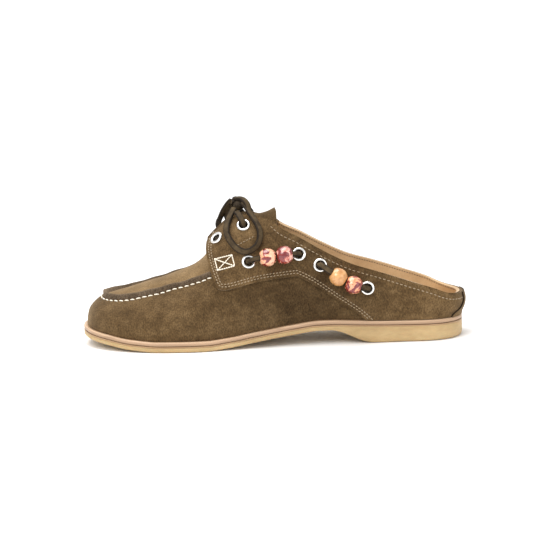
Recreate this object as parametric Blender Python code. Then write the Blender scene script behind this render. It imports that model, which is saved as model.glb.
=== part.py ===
"""A left clog of the boat-shoe kind, low at the heel, laced over a tongue on a crepe sole.

Metres. The toe points to -X, the outer side of the foot to -Y, and +Z is up.
The origin is the middle of the heel's flat rest on the floor.
Places along the shoe are measured from the sole's back end toward the toe ("along").
"""

import math

import bmesh
import bpy
import numpy as np
from mathutils import Matrix, Vector

# Sole
SOLE_LENGTH = 0.2675
BALL_WIDTH = 0.094
WAIST_WIDTH = 0.060
HEEL_WIDTH = 0.063
HEEL_MIDDLE = 0.032
OUTSOLE_THICKNESS = 0.0030
MIDSOLE_THICKNESS = 0.0040
INSOLE_THICKNESS = 0.0030
HEEL_RISE = 0.0077
ARCH_RISE = 0.0095
TOE_SPRING = 0.0070
EDGE_GROOVE = 0.0006
EDGE_ROUND = 0.0018
WELT_LEDGE = 0.0025

# Last
TOE_HEIGHT = 0.0325
INSTEP_HEIGHT = 0.0940
BACK_HEIGHT = 0.0161
FRONT_TOP_HEIGHT = 0.0850
INSTEP_LEAN = 0.0030
WALL_SWELL = 0.035

# Leather and clearance
WALL = 0.0022
OVERLAY = 0.0016
STRIP = 0.0010
TONGUE = 0.0018
GAP = 0.0003

# Saddle, slot and apron seam
FLAP_RISE = 0.0165
SLOT_WIDTH = 0.0190
THROAT_WIDTH = 0.0360
TONGUE_WIDTH = 0.0420
TONGUE_RISE = 0.0055
SEAM_HEIGHT = 0.0034
SEAM_THICKNESS = 0.0032

# Lace, eyelets and beads
LACE_DIAMETER = 0.0029
EYELET_DIAMETER = 0.0096
EYELET_BORE = 0.0056
EYELET_HEIGHT = 0.0010
EYELET_WALL = 0.0006
BEAD_DIAMETER = 0.0124
BEAD_LENGTH = 0.0106
BEAD_BORE = 0.0046
BEAD_SPACE = 0.0012
KNOT_LENGTH = 0.0100
KNOT_WIDTH = 0.0110
KNOT_HEIGHT = 0.0072

# Fineness of the faceted solids
ROUND_POINTS = 44
LAST_RINGS = 20
TURNED_POINTS = 12

OUTER, INNER = -1, 1

# Plan of the sole: along (share of length), heel to waist, waist to ball (shares of the step in
# width), shift of the middle to the inner side (share of ball width)
PLAN = (
    (0.000, 0.00, 0.000, -0.003),
    (0.130, 0.00, 0.000, -0.003),
    (0.225, 0.02, 0.000, -0.011),
    (0.340, 1.00, 0.000, -0.032),
    (0.430, 1.00, 0.045, -0.045),
    (0.526, 1.00, 0.265, -0.048),
    (0.620, 1.00, 0.660, -0.035),
    (0.714, 1.00, 0.985, -0.016),
    (0.810, 1.00, 1.000, -0.003),
    (0.865, 1.00, 1.000, 0.008),
    (0.921, 1.00, 1.000, 0.024),
    (1.000, 1.00, 1.000, 0.048),
)

# Outsole's top above the floor: along, share of heel rise, of arch rise, of toe spring
RISE = (
    (0.000, 0.97, 0.00, 0.00),
    (0.170, 1.01, 0.00, 0.00),
    (0.270, 0.50, 0.50, 0.00),
    (0.360, 0.00, 1.00, 0.00),
    (0.380, 0.00, 1.00, 0.00),
    (0.450, 0.00, 0.78, 0.00),
    (0.555, 0.00, 0.37, 0.00),
    (0.610, 0.00, 0.15, 0.00),
    (0.670, 0.00, 0.00, 0.00),
    (0.800, 0.00, 0.00, 0.00),
    (0.850, 0.00, 0.00, 0.13),
    (0.880, 0.00, 0.00, 0.24),
    (0.920, 0.00, 0.00, 0.48),
    (0.970, 0.00, 0.00, 0.75),
    (1.000, 0.00, 0.00, 1.00),
)
HEEL_BREAST = (0.237, 0.350)

# Back of the last: height over the seat, distance in from the sole's end (shares of back height)
BACK_CURVE = (
    (0.00, 0.194),
    (0.18, 0.170),
    (0.29, 0.120),
    (0.47, 0.041),
    (0.67, 0.012),
    (0.88, 0.053),
    (1.00, 0.088),
    (2.35, 0.470),
    (4.70, 1.470),
    (6.50, 2.300),
)

# Front wall of the toe: distance back from the tip, height over the seat (shares of its height)
TOE_WALL = (
    (0.000, 0.00),
    (0.021, 0.29),
    (0.089, 0.55),
    (0.193, 0.71),
    (0.310, 0.83),
    (0.530, 1.00),
)

# Ridge line of the last: along, height from toe height (0) to instep height (1)
CROWN = (
    (0.000, 1.420),
    (0.188, 1.325),
    (0.300, 1.195),
    (0.410, 1.050),
    (0.470, 0.984),
    (0.504, 0.951),
    (0.526, 0.940),
    (0.545, 0.927),
    (0.564, 0.902),
    (0.583, 0.862),
    (0.602, 0.797),
    (0.624, 0.707),
    (0.647, 0.600),
    (0.665, 0.490),
    (0.682, 0.410),
    (0.714, 0.320),
    (0.751, 0.262),
    (0.785, 0.209),
    (0.825, 0.163),
    (0.878, 0.094),
    (0.923, 0.044),
)

# Fullness of the cross section: along, power of its curve
FULLNESS = (
    (0.000, 2.0),
    (0.580, 2.0),
    (0.700, 2.2),
    (0.850, 2.6),
    (1.000, 2.8),
)

# Topline seen from the side: along, height from the back's top (0) to the front's top (1)
TOPLINE = (
    (-0.080, 0.000),
    (0.000, 0.000),
    (0.020, 0.004),
    (0.042, 0.026),
    (0.082, 0.107),
    (0.135, 0.196),
    (0.214, 0.328),
    (0.293, 0.452),
    (0.321, 0.513),
    (0.374, 0.650),
    (0.427, 0.800),
    (0.470, 0.908),
    (0.491, 0.990),
    (0.501, 1.060),
    (0.504, 1.400),
)

# Saddle's lower and front edge seen from the side: along, height (share of instep height)
SADDLE_EDGE = (
    (0.215, -0.100),
    (0.256, 0.155),
    (0.345, 0.350),
    (0.396, 0.454),
    (0.431, 0.508),
    (0.437, 0.513),
    (0.446, 0.511),
    (0.530, 0.488),
    (0.595, 0.448),
    (0.620, 0.438),
    (0.633, 0.443),
    (0.641, 0.462),
    (0.648, 0.505),
    (0.659, 0.590),
    (0.666, 0.668),
    (0.668, 0.725),
    (0.666, 0.765),
    (0.662, 0.800),
    (0.656, 0.830),
    (0.652, 1.200),
)

# Rise of the saddle's flaps over the last: along, share of flap rise
FLAP_LINE = (
    (0.480, 0.00),
    (0.504, 0.00),
    (0.526, 0.03),
    (0.545, 0.07),
    (0.564, 0.14),
    (0.583, 0.22),
    (0.602, 0.33),
    (0.620, 0.37),
    (0.639, 0.39),
    (0.658, 0.47),
    (0.677, 0.60),
    (0.700, 0.64),
    (0.752, 0.00),
)
FLAP_ROUND = (36.0, 66.0)

# Rise of the tongue over the last's wall: along, share of tongue rise
TONGUE_LINE = (
    (0.470, 0.82),
    (0.492, 0.60),
    (0.510, 0.33),
    (0.527, 0.22),
    (0.545, 0.25),
    (0.564, 0.25),
    (0.580, 0.16),
    (0.600, 0.00),
    (0.750, 0.00),
)
TONGUE_ROUND = (52.0, 74.0)
TONGUE_REACH = (0.4825, 0.712)
THROAT_REACH = (0.440, 0.647)

# Apron seam in plan, one side: along, distance from the middle (share of ball width)
APRON = (
    (0.9395, 0.000),
    (0.9365, 0.066),
    (0.9300, 0.105),
    (0.9180, 0.143),
    (0.9000, 0.177),
    (0.8780, 0.203),
    (0.8500, 0.221),
    (0.8100, 0.230),
    (0.7740, 0.232),
    (0.7400, 0.237),
    (0.7050, 0.246),
    (0.6850, 0.258),
    (0.6650, 0.273),
)
SEAM_FALL = 0.22

# Strip down the back, seen from behind: height over the seat (share of back height),
# distance from the middle (share of heel width)
BACK_STRIP = (
    (1.30, 0.185),
    (0.95, 0.192),
    (0.64, 0.206),
    (0.33, 0.270),
    (0.08, 0.365),
    (-0.30, 0.400),
)

# Eyelets of one side: letter, along, place round the last (degrees up from the feather edge)
EYELETS = (
    ("a", 0.6350, 66.0),
    ("b", 0.5680, 63.5),
    ("c", 0.5580, 38.0),
    ("d", 0.4270, 35.8),
    ("e", 0.3740, 27.3),
    ("f", 0.2530, 14.0),
)

# Runs of lace along the side: first eyelet, last eyelet, how far the run hangs (degrees)
RUNS = (
    ("c", "d", 0.0),
    ("e", "f", 2.3),
)

# Beads on the outer side's lace: name, its run, middle of its pair along the run (share),
# place in the pair (beads and spaces from that middle)
BEADS = (
    ("bead_1", 0, 0.532, -0.5),
    ("bead_2", 0, 0.532, 0.5),
    ("bead_3", 1, 0.561, -0.5),
    ("bead_4", 1, 0.561, 0.5),
)

# Knot of the bow, and the loose stretches of lace that leave it: along, across, height.
# The first and last directions are those in which a stretch leaves the knot.
KNOT_PLACE = (0.1560, -0.0015, 0.0977)
LOOP_OUTER = (
    (0.1496, -0.0090, 0.0942),
    (0.1470, -0.0140, 0.0900),
    (0.1434, -0.0198, 0.0850),
    (0.1411, -0.0236, 0.0801),
    (0.1409, -0.0270, 0.0750),
    (0.1424, -0.0293, 0.0709),
    (0.1455, -0.0312, 0.0680),
    (0.1496, -0.0322, 0.0663),
    (0.1538, -0.0317, 0.0669),
    (0.1578, -0.0300, 0.0693),
    (0.1613, -0.0271, 0.0734),
    (0.1635, -0.0234, 0.0777),
    (0.1638, -0.0200, 0.0815),
    (0.1628, -0.0156, 0.0856),
    (0.1608, -0.0112, 0.0897),
)
LOOP_INNER = (
    (0.1622, 0.0010, 0.0962),
    (0.1655, 0.0068, 0.0912),
    (0.1686, 0.0132, 0.0850),
    (0.1703, 0.0182, 0.0810),
    (0.1703, 0.0230, 0.0766),
    (0.1680, 0.0264, 0.0728),
    (0.1640, 0.0284, 0.0702),
    (0.1602, 0.0281, 0.0717),
    (0.1596, 0.0252, 0.0762),
    (0.1618, 0.0207, 0.0806),
    (0.1640, 0.0158, 0.0845),
    (0.1636, 0.0100, 0.0885),
    (0.1620, 0.0052, 0.0922),
)
END_FRONT = (
    (0.1575, 0.0078, 0.0942),
    (0.1586, 0.0116, 0.0914),
    (0.1593, 0.0146, 0.0886),
    (0.1596, 0.0166, 0.0864),
)
END_BACK = (
    (0.1499, 0.0048, 0.0936),
    (0.1482, 0.0092, 0.0904),
    (0.1470, 0.0130, 0.0883),
)


def columns(table):
    """The columns of a table, each as an array."""
    return np.array(table, dtype=float).T


def smooth(along, value):
    """A smooth curve through the rows of a table that never overshoots between them."""
    run = np.diff(along)
    slope = np.diff(value) / run
    tangent = np.concatenate([[slope[0]], np.zeros(len(run) - 1), [slope[-1]]])
    for i in range(1, len(run)):
        if slope[i - 1] * slope[i] > 0:
            before = run[i - 1] + 2 * run[i]
            after = 2 * run[i - 1] + run[i]
            tangent[i] = (before + after) / (before / slope[i - 1] + after / slope[i])

    def curve(x):
        x = np.clip(x, along[0], along[-1])
        i = np.clip(np.searchsorted(along, x, side="right") - 1, 0, len(run) - 1)
        t = (x - along[i]) / run[i]
        start = value[i] * (1 + 2 * t) + tangent[i] * run[i] * t
        end = value[i + 1] * (3 - 2 * t) - tangent[i + 1] * run[i] * (1 - t)
        return start * (1 - t) ** 2 + end * t**2

    return curve


def blend_step(x, low, high):
    """0 below low, 1 above high, and a smooth step between."""
    t = np.clip((x - low) / (high - low), 0.0, 1.0)
    return t * t * (3 - 2 * t)


# Sole: plan and heights along the shoe

plan_along, to_waist, to_ball, to_inner = columns(PLAN)
waist_share = smooth(plan_along, to_waist)
ball_share = smooth(plan_along, to_ball)
shift_share = smooth(plan_along, to_inner)

rise_along, of_heel, of_arch, of_toe = columns(RISE)
rise_curve = smooth(rise_along, of_heel * HEEL_RISE + of_arch * ARCH_RISE + of_toe * TOE_SPRING)

TOE_START = 0.714 * SOLE_LENGTH
TOE_POWER = 2.33
HEEL_ROUND = 0.48 * HEEL_WIDTH
HEEL_POWER = 2.2


def half_width(along):
    """Half the sole's width, before its ends are rounded."""
    share = along / SOLE_LENGTH
    width = HEEL_WIDTH + (WAIST_WIDTH - HEEL_WIDTH) * waist_share(share)
    return 0.5 * (width + (BALL_WIDTH - WAIST_WIDTH) * ball_share(share))


def middle(along):
    """The sole's middle line, inner side positive."""
    return BALL_WIDTH * shift_share(along / SOLE_LENGTH)


def end_rounding(along, back, tip):
    """1 along the body of an outline, falling to 0 at its back end and its tip."""
    toward_tip = np.clip((along - TOE_START) / (tip - TOE_START), 0.0, 1.0)
    toward_back = np.clip(1 - (along - back) / HEEL_ROUND, 0.0, 1.0)
    toe = (1 - toward_tip**TOE_POWER) ** (1 / TOE_POWER)
    heel = (1 - toward_back**HEEL_POWER) ** (1 / HEEL_POWER)
    return toe * heel


def rise(along):
    """Height of the outsole's top above its thickness."""
    return rise_curve(along / SOLE_LENGTH)


def deck(along):
    """Height of the outsole's top."""
    return OUTSOLE_THICKNESS + rise(along)


def seat(along):
    """Height of the midsole's top, which the upper stands on."""
    return deck(along) + MIDSOLE_THICKNESS


def tread(along):
    """Height of the outsole's underside: flat at the heel, then up behind the heel breast."""
    breast, front = (share * SOLE_LENGTH for share in HEEL_BREAST)
    return rise(along) * blend_step(along, breast, front)


# Last: its skin is a stack of rings, each at one height of the toe and instep

TIP = SOLE_LENGTH - WELT_LEDGE
back_up, back_in = columns(BACK_CURVE)
back_curve = smooth(back_up * BACK_HEIGHT, back_in * BACK_HEIGHT)
fullness = smooth(*columns(FULLNESS))
toe_seat = float(seat(SOLE_LENGTH))
wall_back, wall_up = columns(TOE_WALL)
toe_wall_height = TOE_HEIGHT - toe_seat
crown_along, crown_up = columns(CROWN)
crown_curve = smooth(
    np.concatenate([crown_along * SOLE_LENGTH, (TIP - wall_back * toe_wall_height)[::-1]]),
    np.concatenate(
        [
            TOE_HEIGHT + crown_up * (INSTEP_HEIGHT - TOE_HEIGHT),
            (toe_seat + wall_up * toe_wall_height)[::-1],
        ]
    ),
)
ROUND_RISE = 0.045
RIDGE_END = 0.415
RIDGE_ARC = 0.06
RING_SPREAD = 1.12
LEAN_SPREAD = 0.3


def up_share(along, height):
    """Where a height lies between the seat (0) and the ridge line (1)."""
    low = seat(along)
    return np.clip((height - low) / np.maximum(crown_curve(along) - low, 1e-6), 0.0, 1.0)


def reach(along, height, back):
    """The skin's distance from its middle line at a place and height."""
    up = up_share(along, height)
    edge = (half_width(along) - WELT_LEDGE) * end_rounding(along, back, TIP)
    swell = 1 + WALL_SWELL * np.sin(math.pi * up)
    return edge * swell * np.sqrt(np.maximum(1 - up ** fullness(along), 0.0))


def skin_middle(along, up):
    """The skin's middle line, which leans to the inner side toward the instep."""
    return middle(along) + INSTEP_LEAN * up**2 * blend_step(
        SOLE_LENGTH - along, 0, LEAN_SPREAD * SOLE_LENGTH
    )


def ring_height(along, front_along, front_height):
    """Height round a ring: a low ring keeps to the seat's line, a high one lies level."""
    level = np.clip((front_height - toe_seat) / (ROUND_RISE - toe_seat), 0.0, 1.0)
    return front_height + (seat(along) - seat(front_along)) * (1 - level) ** 2


def ridge_rings():
    """Where each ring starts on the ridge line, evenly spaced along that line."""
    top = RIDGE_END * SOLE_LENGTH
    toe = TIP - np.linspace(0, 1, 60) ** 2 * RIDGE_ARC * SOLE_LENGTH
    line = np.concatenate([toe, np.linspace(toe[-1], top, 240)[1:]])
    height = crown_curve(line)
    travel = np.concatenate([[0], np.cumsum(np.hypot(np.diff(line), np.diff(height)))])
    even = np.linspace(0, 1, LAST_RINGS) ** RING_SPREAD * travel[-1]
    return np.interp(even, travel, line)


def skin_grid(raise_line=None, raise_round=None):
    """Points of the skin, ring by ring from under the feather edge to over the instep.

    raise_line lifts the ridge, as a function of the place along, and raise_round gives the
    angles up from the feather edge between which that lift comes in.
    """
    turn = np.linspace(0, 2 * math.pi, ROUND_POINTS, endpoint=False)
    side = -np.sign(np.round(np.sin(turn), 9))
    grid = []
    for front in ridge_rings():
        front_height = float(crown_curve(front))
        back_height = ring_height(0.0, front, front_height) - seat(0.0)
        back = float(back_curve(back_height))
        along = 0.5 * (front + back) + 0.5 * (front - back) * np.cos(turn)
        height = ring_height(along, front, front_height)
        up = up_share(along, height)
        across = skin_middle(along, up) + side * reach(along, height, back)
        if raise_line is not None:
            height = height + raise_line(along) * lift_share(along, up, raise_round)
        grid.append(np.stack([HEEL_MIDDLE - along, across, height], axis=1))
    under = grid[0] - [0, 0, MIDSOLE_THICKNESS + OUTSOLE_THICKNESS]
    return np.array([under] + grid)


def lift_share(along, up, raise_round):
    """How much of a lift of the ridge reaches a point of the skin."""
    sine = np.sqrt(np.clip(up, 0, 1) ** fullness(along))
    angle = np.degrees(np.arcsin(sine))
    return up * blend_step(angle, *raise_round)


def grown(grid, amount):
    """A grid of skin points moved out along its own normals."""
    round_way = np.roll(grid, -1, axis=1) - np.roll(grid, 1, axis=1)
    up_way = np.gradient(grid, axis=0)
    normal = np.cross(up_way, round_way)
    normal /= np.maximum(np.linalg.norm(normal, axis=2, keepdims=True), 1e-12)
    outward = normal[:, ROUND_POINTS // 4, 1] * (grid[:, ROUND_POINTS // 4, 1] - grid[:, 0, 1])
    if np.sum(outward) < 0:
        normal = -normal
    return grid + normal * np.asarray(amount)[..., None]


def flap_rise(along):
    """Lift of the saddle's ridge over the last."""
    return FLAP_RISE * flap_curve(along / SOLE_LENGTH)


def tongue_rise(along):
    """Lift of the tongue's ridge over the last."""
    return TONGUE_RISE * tongue_curve(along / SOLE_LENGTH)


flap_curve = smooth(*columns(FLAP_LINE))
tongue_curve = smooth(*columns(TONGUE_LINE))


# Making solids

def material(name, colour, roughness, metallic=0.0):
    """A plain Principled material."""
    made = bpy.data.materials.new(name)
    made.use_nodes = True
    shader = made.node_tree.nodes["Principled BSDF"]
    shader.inputs["Base Color"].default_value = (*colour, 1.0)
    shader.inputs["Roughness"].default_value = roughness
    shader.inputs["Metallic"].default_value = metallic
    return made


def solid(name, points, faces, finish=None):
    """A mesh object whose faces point out."""
    mesh = bpy.data.meshes.new(name)
    mesh.from_pydata([tuple(point) for point in points], [], faces)
    work = bmesh.new()
    work.from_mesh(mesh)
    bmesh.ops.remove_doubles(work, verts=work.verts, dist=1e-7)
    bmesh.ops.recalc_face_normals(work, faces=work.faces)
    if work.calc_volume(signed=True) < 0:
        bmesh.ops.reverse_faces(work, faces=work.faces)
    work.to_mesh(mesh)
    work.free()
    made = bpy.data.objects.new(name, mesh)
    bpy.context.scene.collection.objects.link(made)
    if finish is None:
        made.hide_render = True
        made.display_type = "WIRE"
    else:
        mesh.materials.append(finish)
        mesh.shade_smooth()
        mesh.set_sharp_from_angle(angle=math.radians(35))
    return made


def stack(name, rings, finish=None):
    """A solid through a stack of rings, closed at both ends by strips across them.

    Its sides are triangles cut the same way in every stack, so that nested walls keep their gap.
    """
    count = len(rings[0])
    faces = []
    for level in range(len(rings) - 1):
        low, high = level * count, (level + 1) * count
        for j in range(count):
            k = (j + 1) % count
            faces.append((low + j, low + k, high + k))
            faces.append((low + j, high + k, high + j))
    for base in (0, (len(rings) - 1) * count):
        faces.append((base, base + 1, base + count - 1))
        for j in range(1, count // 2 - 1):
            faces.append((base + j, base + j + 1, base + count - j - 1, base + count - j))
        half = count // 2
        faces.append((base + half - 1, base + half, base + half + 1))
    return solid(name, np.concatenate(rings), faces, finish)


def prism(name, outline, place, low, high):
    """A solid from an outline, extruded between two distances; place maps (a, b, distance)."""
    count = len(outline)
    points = [place(a, b, low) for a, b in outline] + [place(a, b, high) for a, b in outline]
    faces = [tuple(range(count)), tuple(range(count, 2 * count))]
    for j in range(count):
        k = (j + 1) % count
        faces.append((j, k, count + k, count + j))
    return solid(name, points, faces)


def turned(name, profile, finish):
    """A ring turned about Z from a closed profile of (radius, height) points."""
    points, faces = [], []
    count = len(profile)
    for i in range(TURNED_POINTS):
        angle = 2 * math.pi * i / TURNED_POINTS
        after = (i + 1) % TURNED_POINTS
        for j, (radius, height) in enumerate(profile):
            points.append((radius * math.cos(angle), radius * math.sin(angle), height))
            k = (j + 1) % count
            faces.append((i * count + j, i * count + k, after * count + k, after * count + j))
    return solid(name, points, faces, finish)


def combine(target, operation, *others):
    """Cut target by, or keep only its part inside, each of the others."""
    for other in others:
        step = target.modifiers.new(other.name, "BOOLEAN")
        step.operation = operation
        step.object = other
        step.solver = "EXACT"


def from_side(along, height, across):
    """World point for an outline drawn as the shoe is seen from the side."""
    return (HEEL_MIDDLE - along, across, height)


def from_top(along, across, height):
    """World point for an outline drawn as the shoe is seen from the top."""
    return (HEEL_MIDDLE - along, across, height)


def from_back(across, height, along):
    """World point for an outline drawn as the shoe is seen from behind."""
    return (HEEL_MIDDLE - along, across, height)


def tube(name, points, diameter, finish):
    """A cord of round section along a list of points."""
    curve = bpy.data.curves.new(name, "CURVE")
    curve.dimensions = "3D"
    curve.bevel_depth = diameter / 2
    curve.bevel_resolution = 2
    curve.use_fill_caps = True
    spline = curve.splines.new("POLY")
    spline.points.add(len(points) - 1)
    for point, place in zip(spline.points, points):
        point.co = (*place, 1.0)
    curve.materials.append(finish)
    made = bpy.data.objects.new(name, curve)
    bpy.context.scene.collection.objects.link(made)
    return made


def flowing(points, step):
    """Points at about a given step along a smooth curve through the given points."""
    points = [Vector(point) for point in points]
    before = points[0] * 2 - points[1]
    after = points[-1] * 2 - points[-2]
    route = [before] + points + [after]
    fine = []
    for a, b, c, d in zip(route, route[1:], route[2:], route[3:]):
        for i in range(12):
            t = i / 12
            fine.append(
                0.5 * (2 * b + (c - a) * t + (2 * a - 5 * b + 4 * c - d) * t**2)
                + 0.5 * (3 * b - a - 3 * c + d) * t**3
            )
    fine = np.array([tuple(point) for point in fine + [points[-1]]])
    travel = np.concatenate([[0], np.cumsum(np.linalg.norm(np.diff(fine, axis=0), axis=1))])
    even = np.linspace(0, travel[-1], max(3, round(travel[-1] / step) + 1))
    return np.stack([np.interp(even, travel, fine[:, i]) for i in range(3)], axis=1)


# Sole pieces

def sole_ring(inset, height_of, raised):
    """A ring of the sole at an inset, following a height function."""
    turn = np.linspace(0, 2 * math.pi, ROUND_POINTS, endpoint=False)
    side = -np.sign(np.round(np.sin(turn), 9))
    half_length = 0.5 * SOLE_LENGTH - inset
    along = 0.5 * SOLE_LENGTH + half_length * np.cos(turn)
    width = np.maximum(half_width(along) - inset, 0.0)
    round_off = end_rounding(along, inset, SOLE_LENGTH - inset)
    across = middle(along) + side * width * round_off
    return np.stack([HEEL_MIDDLE - along, across, height_of(along) + raised(along)], axis=1)


def outsole(finish):
    """Crepe unit sole: the tread, a low heel and its breast, with rounded edges."""
    # inset, share of the way up the side
    side = ((EDGE_ROUND, 0.0), (0.3 * EDGE_ROUND, 0.12), (0.0, 0.35), (0.0, 0.92), (0.0002, 1.0))
    rings = []
    for inset, up in side:
        rings.append(sole_ring(inset, tread, lambda along: up * (deck(along) - tread(along))))
    return stack("outsole", rings, finish)


def midsole(finish):
    """Leather midsole with a groove round its edge and a rounded top."""
    # inset, share of the way up the side
    side = (
        (0.0, 0.0),
        (0.0, 0.22),
        (EDGE_GROOVE, 0.30),
        (0.0, 0.38),
        (0.0, 0.85),
        (EDGE_GROOVE, 1.0),
    )
    rings = []
    for inset, up in side:
        rings.append(
            sole_ring(inset, deck, lambda along: GAP + up * (MIDSOLE_THICKNESS - GAP))
        )
    return stack("midsole", rings, finish)


def insole(finish):
    """Padded insole that fills the upper's floor."""
    inset = WELT_LEDGE + WALL + 2 * GAP
    side = ((inset, 0.0), (inset, 0.65), (inset + 0.3 * INSOLE_THICKNESS, 1.0))
    rings = []
    for depth, up in side:
        rings.append(sole_ring(depth, seat, lambda along: GAP + up * INSOLE_THICKNESS))
    return stack("insole", rings, finish)


# Cutters that several pieces share

def under_cutter():
    """All that lies below the upper's feather edge."""
    margin = -0.2 * BALL_WIDTH
    rings = [
        sole_ring(margin, lambda along: 0 * along - SOLE_LENGTH, lambda along: 0.0),
        sole_ring(margin, seat, lambda along: GAP),
    ]
    return stack("cut_under", rings)


def topline_height(climb):
    """Height of the topline for a share of its climb."""
    back_top = float(seat(0.0)) + BACK_HEIGHT
    return back_top + climb * (FRONT_TOP_HEIGHT - back_top)


def topline_cutter():
    """All that lies above the topline and behind the laced front."""
    along, climb = columns(TOPLINE)
    line = smooth(along, climb)
    even = np.concatenate([np.linspace(along[0], 0.04, 8), np.linspace(0.06, 0.48, 15), along[-3:]])
    outline = [(a * SOLE_LENGTH, topline_height(float(line(a)))) for a in even]
    sky = 2 * INSTEP_HEIGHT
    outline += [(outline[-1][0], sky), (outline[0][0], sky)]
    return prism("cut_topline", outline, from_side, -BALL_WIDTH, BALL_WIDTH)


def band_cutter(name, start, end, width, rounded):
    """An upright slot along the instep's middle, with one rounded end toward the toe."""
    radius = width / 2 if rounded else 0.0
    centre = end - radius
    outline = []
    for along in np.linspace(start, centre, 6):
        outline.append((along, float(skin_middle(along, 1.0)) - width / 2))
    for degrees in (-60, -30, 0, 30, 60) if rounded else ():
        angle = math.radians(degrees)
        across = float(skin_middle(centre, 1.0)) + radius * math.sin(angle)
        outline.append((centre + radius * math.cos(angle), across))
    for along in np.linspace(centre, start, 6):
        outline.append((along, float(skin_middle(along, 1.0)) + width / 2))
    return prism(name, outline, from_top, 0.4 * INSTEP_HEIGHT, 2 * INSTEP_HEIGHT)


# Upper pieces

def upper(finish, under, topline):
    """Vamp, apron and quarters as one hollow wall, open at the collar, throat and floor."""
    skin = skin_grid()
    made = stack("upper", grown(skin, np.zeros(skin.shape[:2])), finish)
    inside = stack("cut_upper_inside", grown(skin, np.full(skin.shape[:2], -WALL)))
    start, end = (share * SOLE_LENGTH for share in THROAT_REACH)
    throat = band_cutter("cut_throat", start, end, THROAT_WIDTH, True)
    combine(made, "DIFFERENCE", inside, under, topline, throat)
    return made


def saddle(finish, under, topline):
    """Overlay over quarters and instep, with two free flaps that carry the lace."""
    skin = skin_grid(flap_rise, FLAP_ROUND)
    made = stack("saddle", grown(skin, np.full(skin.shape[:2], GAP + OVERLAY)), finish)
    inside = stack("cut_saddle_inside", grown(skin, np.full(skin.shape[:2], 1.5 * GAP)))
    outline = [(a * SOLE_LENGTH, b * INSTEP_HEIGHT) for a, b in SADDLE_EDGE]
    behind = -0.1 * SOLE_LENGTH
    outline += [(behind, outline[-1][1]), (behind, outline[0][1])]
    keep = prism("keep_saddle", outline, from_side, -BALL_WIDTH, BALL_WIDTH)
    front = SADDLE_EDGE[-1][0] * SOLE_LENGTH + SLOT_WIDTH
    slot = band_cutter("cut_slot", 0.3 * SOLE_LENGTH, front, SLOT_WIDTH, False)
    combine(made, "INTERSECT", keep)
    combine(made, "DIFFERENCE", inside, under, topline, slot, eyelet_holes())
    return made


def tongue(finish):
    """Tongue under the flaps, its free end turned up behind the lace."""
    skin = skin_grid(tongue_rise, TONGUE_ROUND)
    top = -WALL - GAP
    made = stack("tongue", grown(skin, np.full(skin.shape[:2], top)), finish)
    inside = stack("cut_tongue_inside", grown(skin, np.full(skin.shape[:2], top - TONGUE)))
    start, end = (share * SOLE_LENGTH for share in TONGUE_REACH)
    keep = band_cutter("keep_tongue", start, end, TONGUE_WIDTH, True)
    combine(made, "INTERSECT", keep)
    combine(made, "DIFFERENCE", inside)
    return made


def apron_line():
    """The apron seam in plan from one rear end round the toe to the other."""
    along, half = columns(APRON)
    outer = [(a * SOLE_LENGTH, -h * BALL_WIDTH) for a, h in zip(along, half)]
    inner = [(a * SOLE_LENGTH, h * BALL_WIDTH) for a, h in zip(along, half)]
    route = outer[:0:-1] + inner
    placed = [(a, b + float(middle(a)), 0.0) for a, b in route]
    return flowing(placed, 2.2 * SEAM_THICKNESS)[:, :2]


def apron_seam(finish):
    """Raised moccasin seam round the apron, a ridge that stands on the upper."""
    line = apron_line()
    tangent = np.gradient(line, axis=0)
    tangent /= np.linalg.norm(tangent, axis=1, keepdims=True)
    out = np.stack([tangent[:, 1], -tangent[:, 0]], axis=1) * SEAM_THICKNESS / 2
    outline = [tuple(point) for point in line + out] + [tuple(point) for point in (line - out)[::-1]]
    keep = prism("keep_seam", outline, from_top, 0.2 * INSTEP_HEIGHT, INSTEP_HEIGHT)
    skin = skin_grid()
    along = HEEL_MIDDLE - skin[:, :, 0]
    rear = blend_step(-along, -0.92 * SOLE_LENGTH, -0.68 * SOLE_LENGTH)
    made = stack("apron_seam", grown(skin, GAP + SEAM_HEIGHT * (1 - SEAM_FALL * rear)), finish)
    inside = stack("cut_seam_inside", grown(skin, np.full(skin.shape[:2], GAP)))
    combine(made, "INTERSECT", keep)
    combine(made, "DIFFERENCE", inside)
    return made


def back_strip(finish, under, topline):
    """Strip over the saddle down the middle of the back."""
    skin = skin_grid()
    inside = 2 * GAP + OVERLAY
    made = stack("back_strip", grown(skin, np.full(skin.shape[:2], inside + STRIP)), finish)
    cut = stack("cut_strip_inside", grown(skin, np.full(skin.shape[:2], inside)))
    base = float(seat(0.0))
    half = [(d * HEEL_WIDTH, base + h * BACK_HEIGHT) for h, d in BACK_STRIP]
    outline = half + [(-across, height) for across, height in half[::-1]]
    keep = prism("keep_strip", outline, from_back, -HEEL_MIDDLE, HEEL_MIDDLE)
    combine(made, "INTERSECT", keep)
    combine(made, "DIFFERENCE", cut, under, topline)
    return made


# Lace, eyelets and beads, placed on the saddle's skin

NORMAL_STEP = 0.004
NORMAL_TURN = 3.0
RUN_SHARES = (0.21, 0.40, 0.62, 0.84)
BAR_TURN = 77.5
BEAD_STEP = 0.04 * LACE_DIAMETER

def skin_point(along, degrees, side, out):
    """World point on the saddle's skin, moved out from the last by a distance."""
    sine = math.sin(math.radians(degrees))
    up = sine ** (2 / float(fullness(along)))
    low = float(seat(along))
    height = low + (float(crown_curve(along)) - low) * up
    back = float(back_curve(height - float(seat(0.0))))
    across = float(skin_middle(along, up)) + side * float(reach(along, height, back))
    height += float(flap_rise(along)) * float(lift_share(along, up, FLAP_ROUND))
    point = Vector((HEEL_MIDDLE - along, across, height))
    return point if out == 0 else point + skin_normal(along, degrees, side) * out


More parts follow.
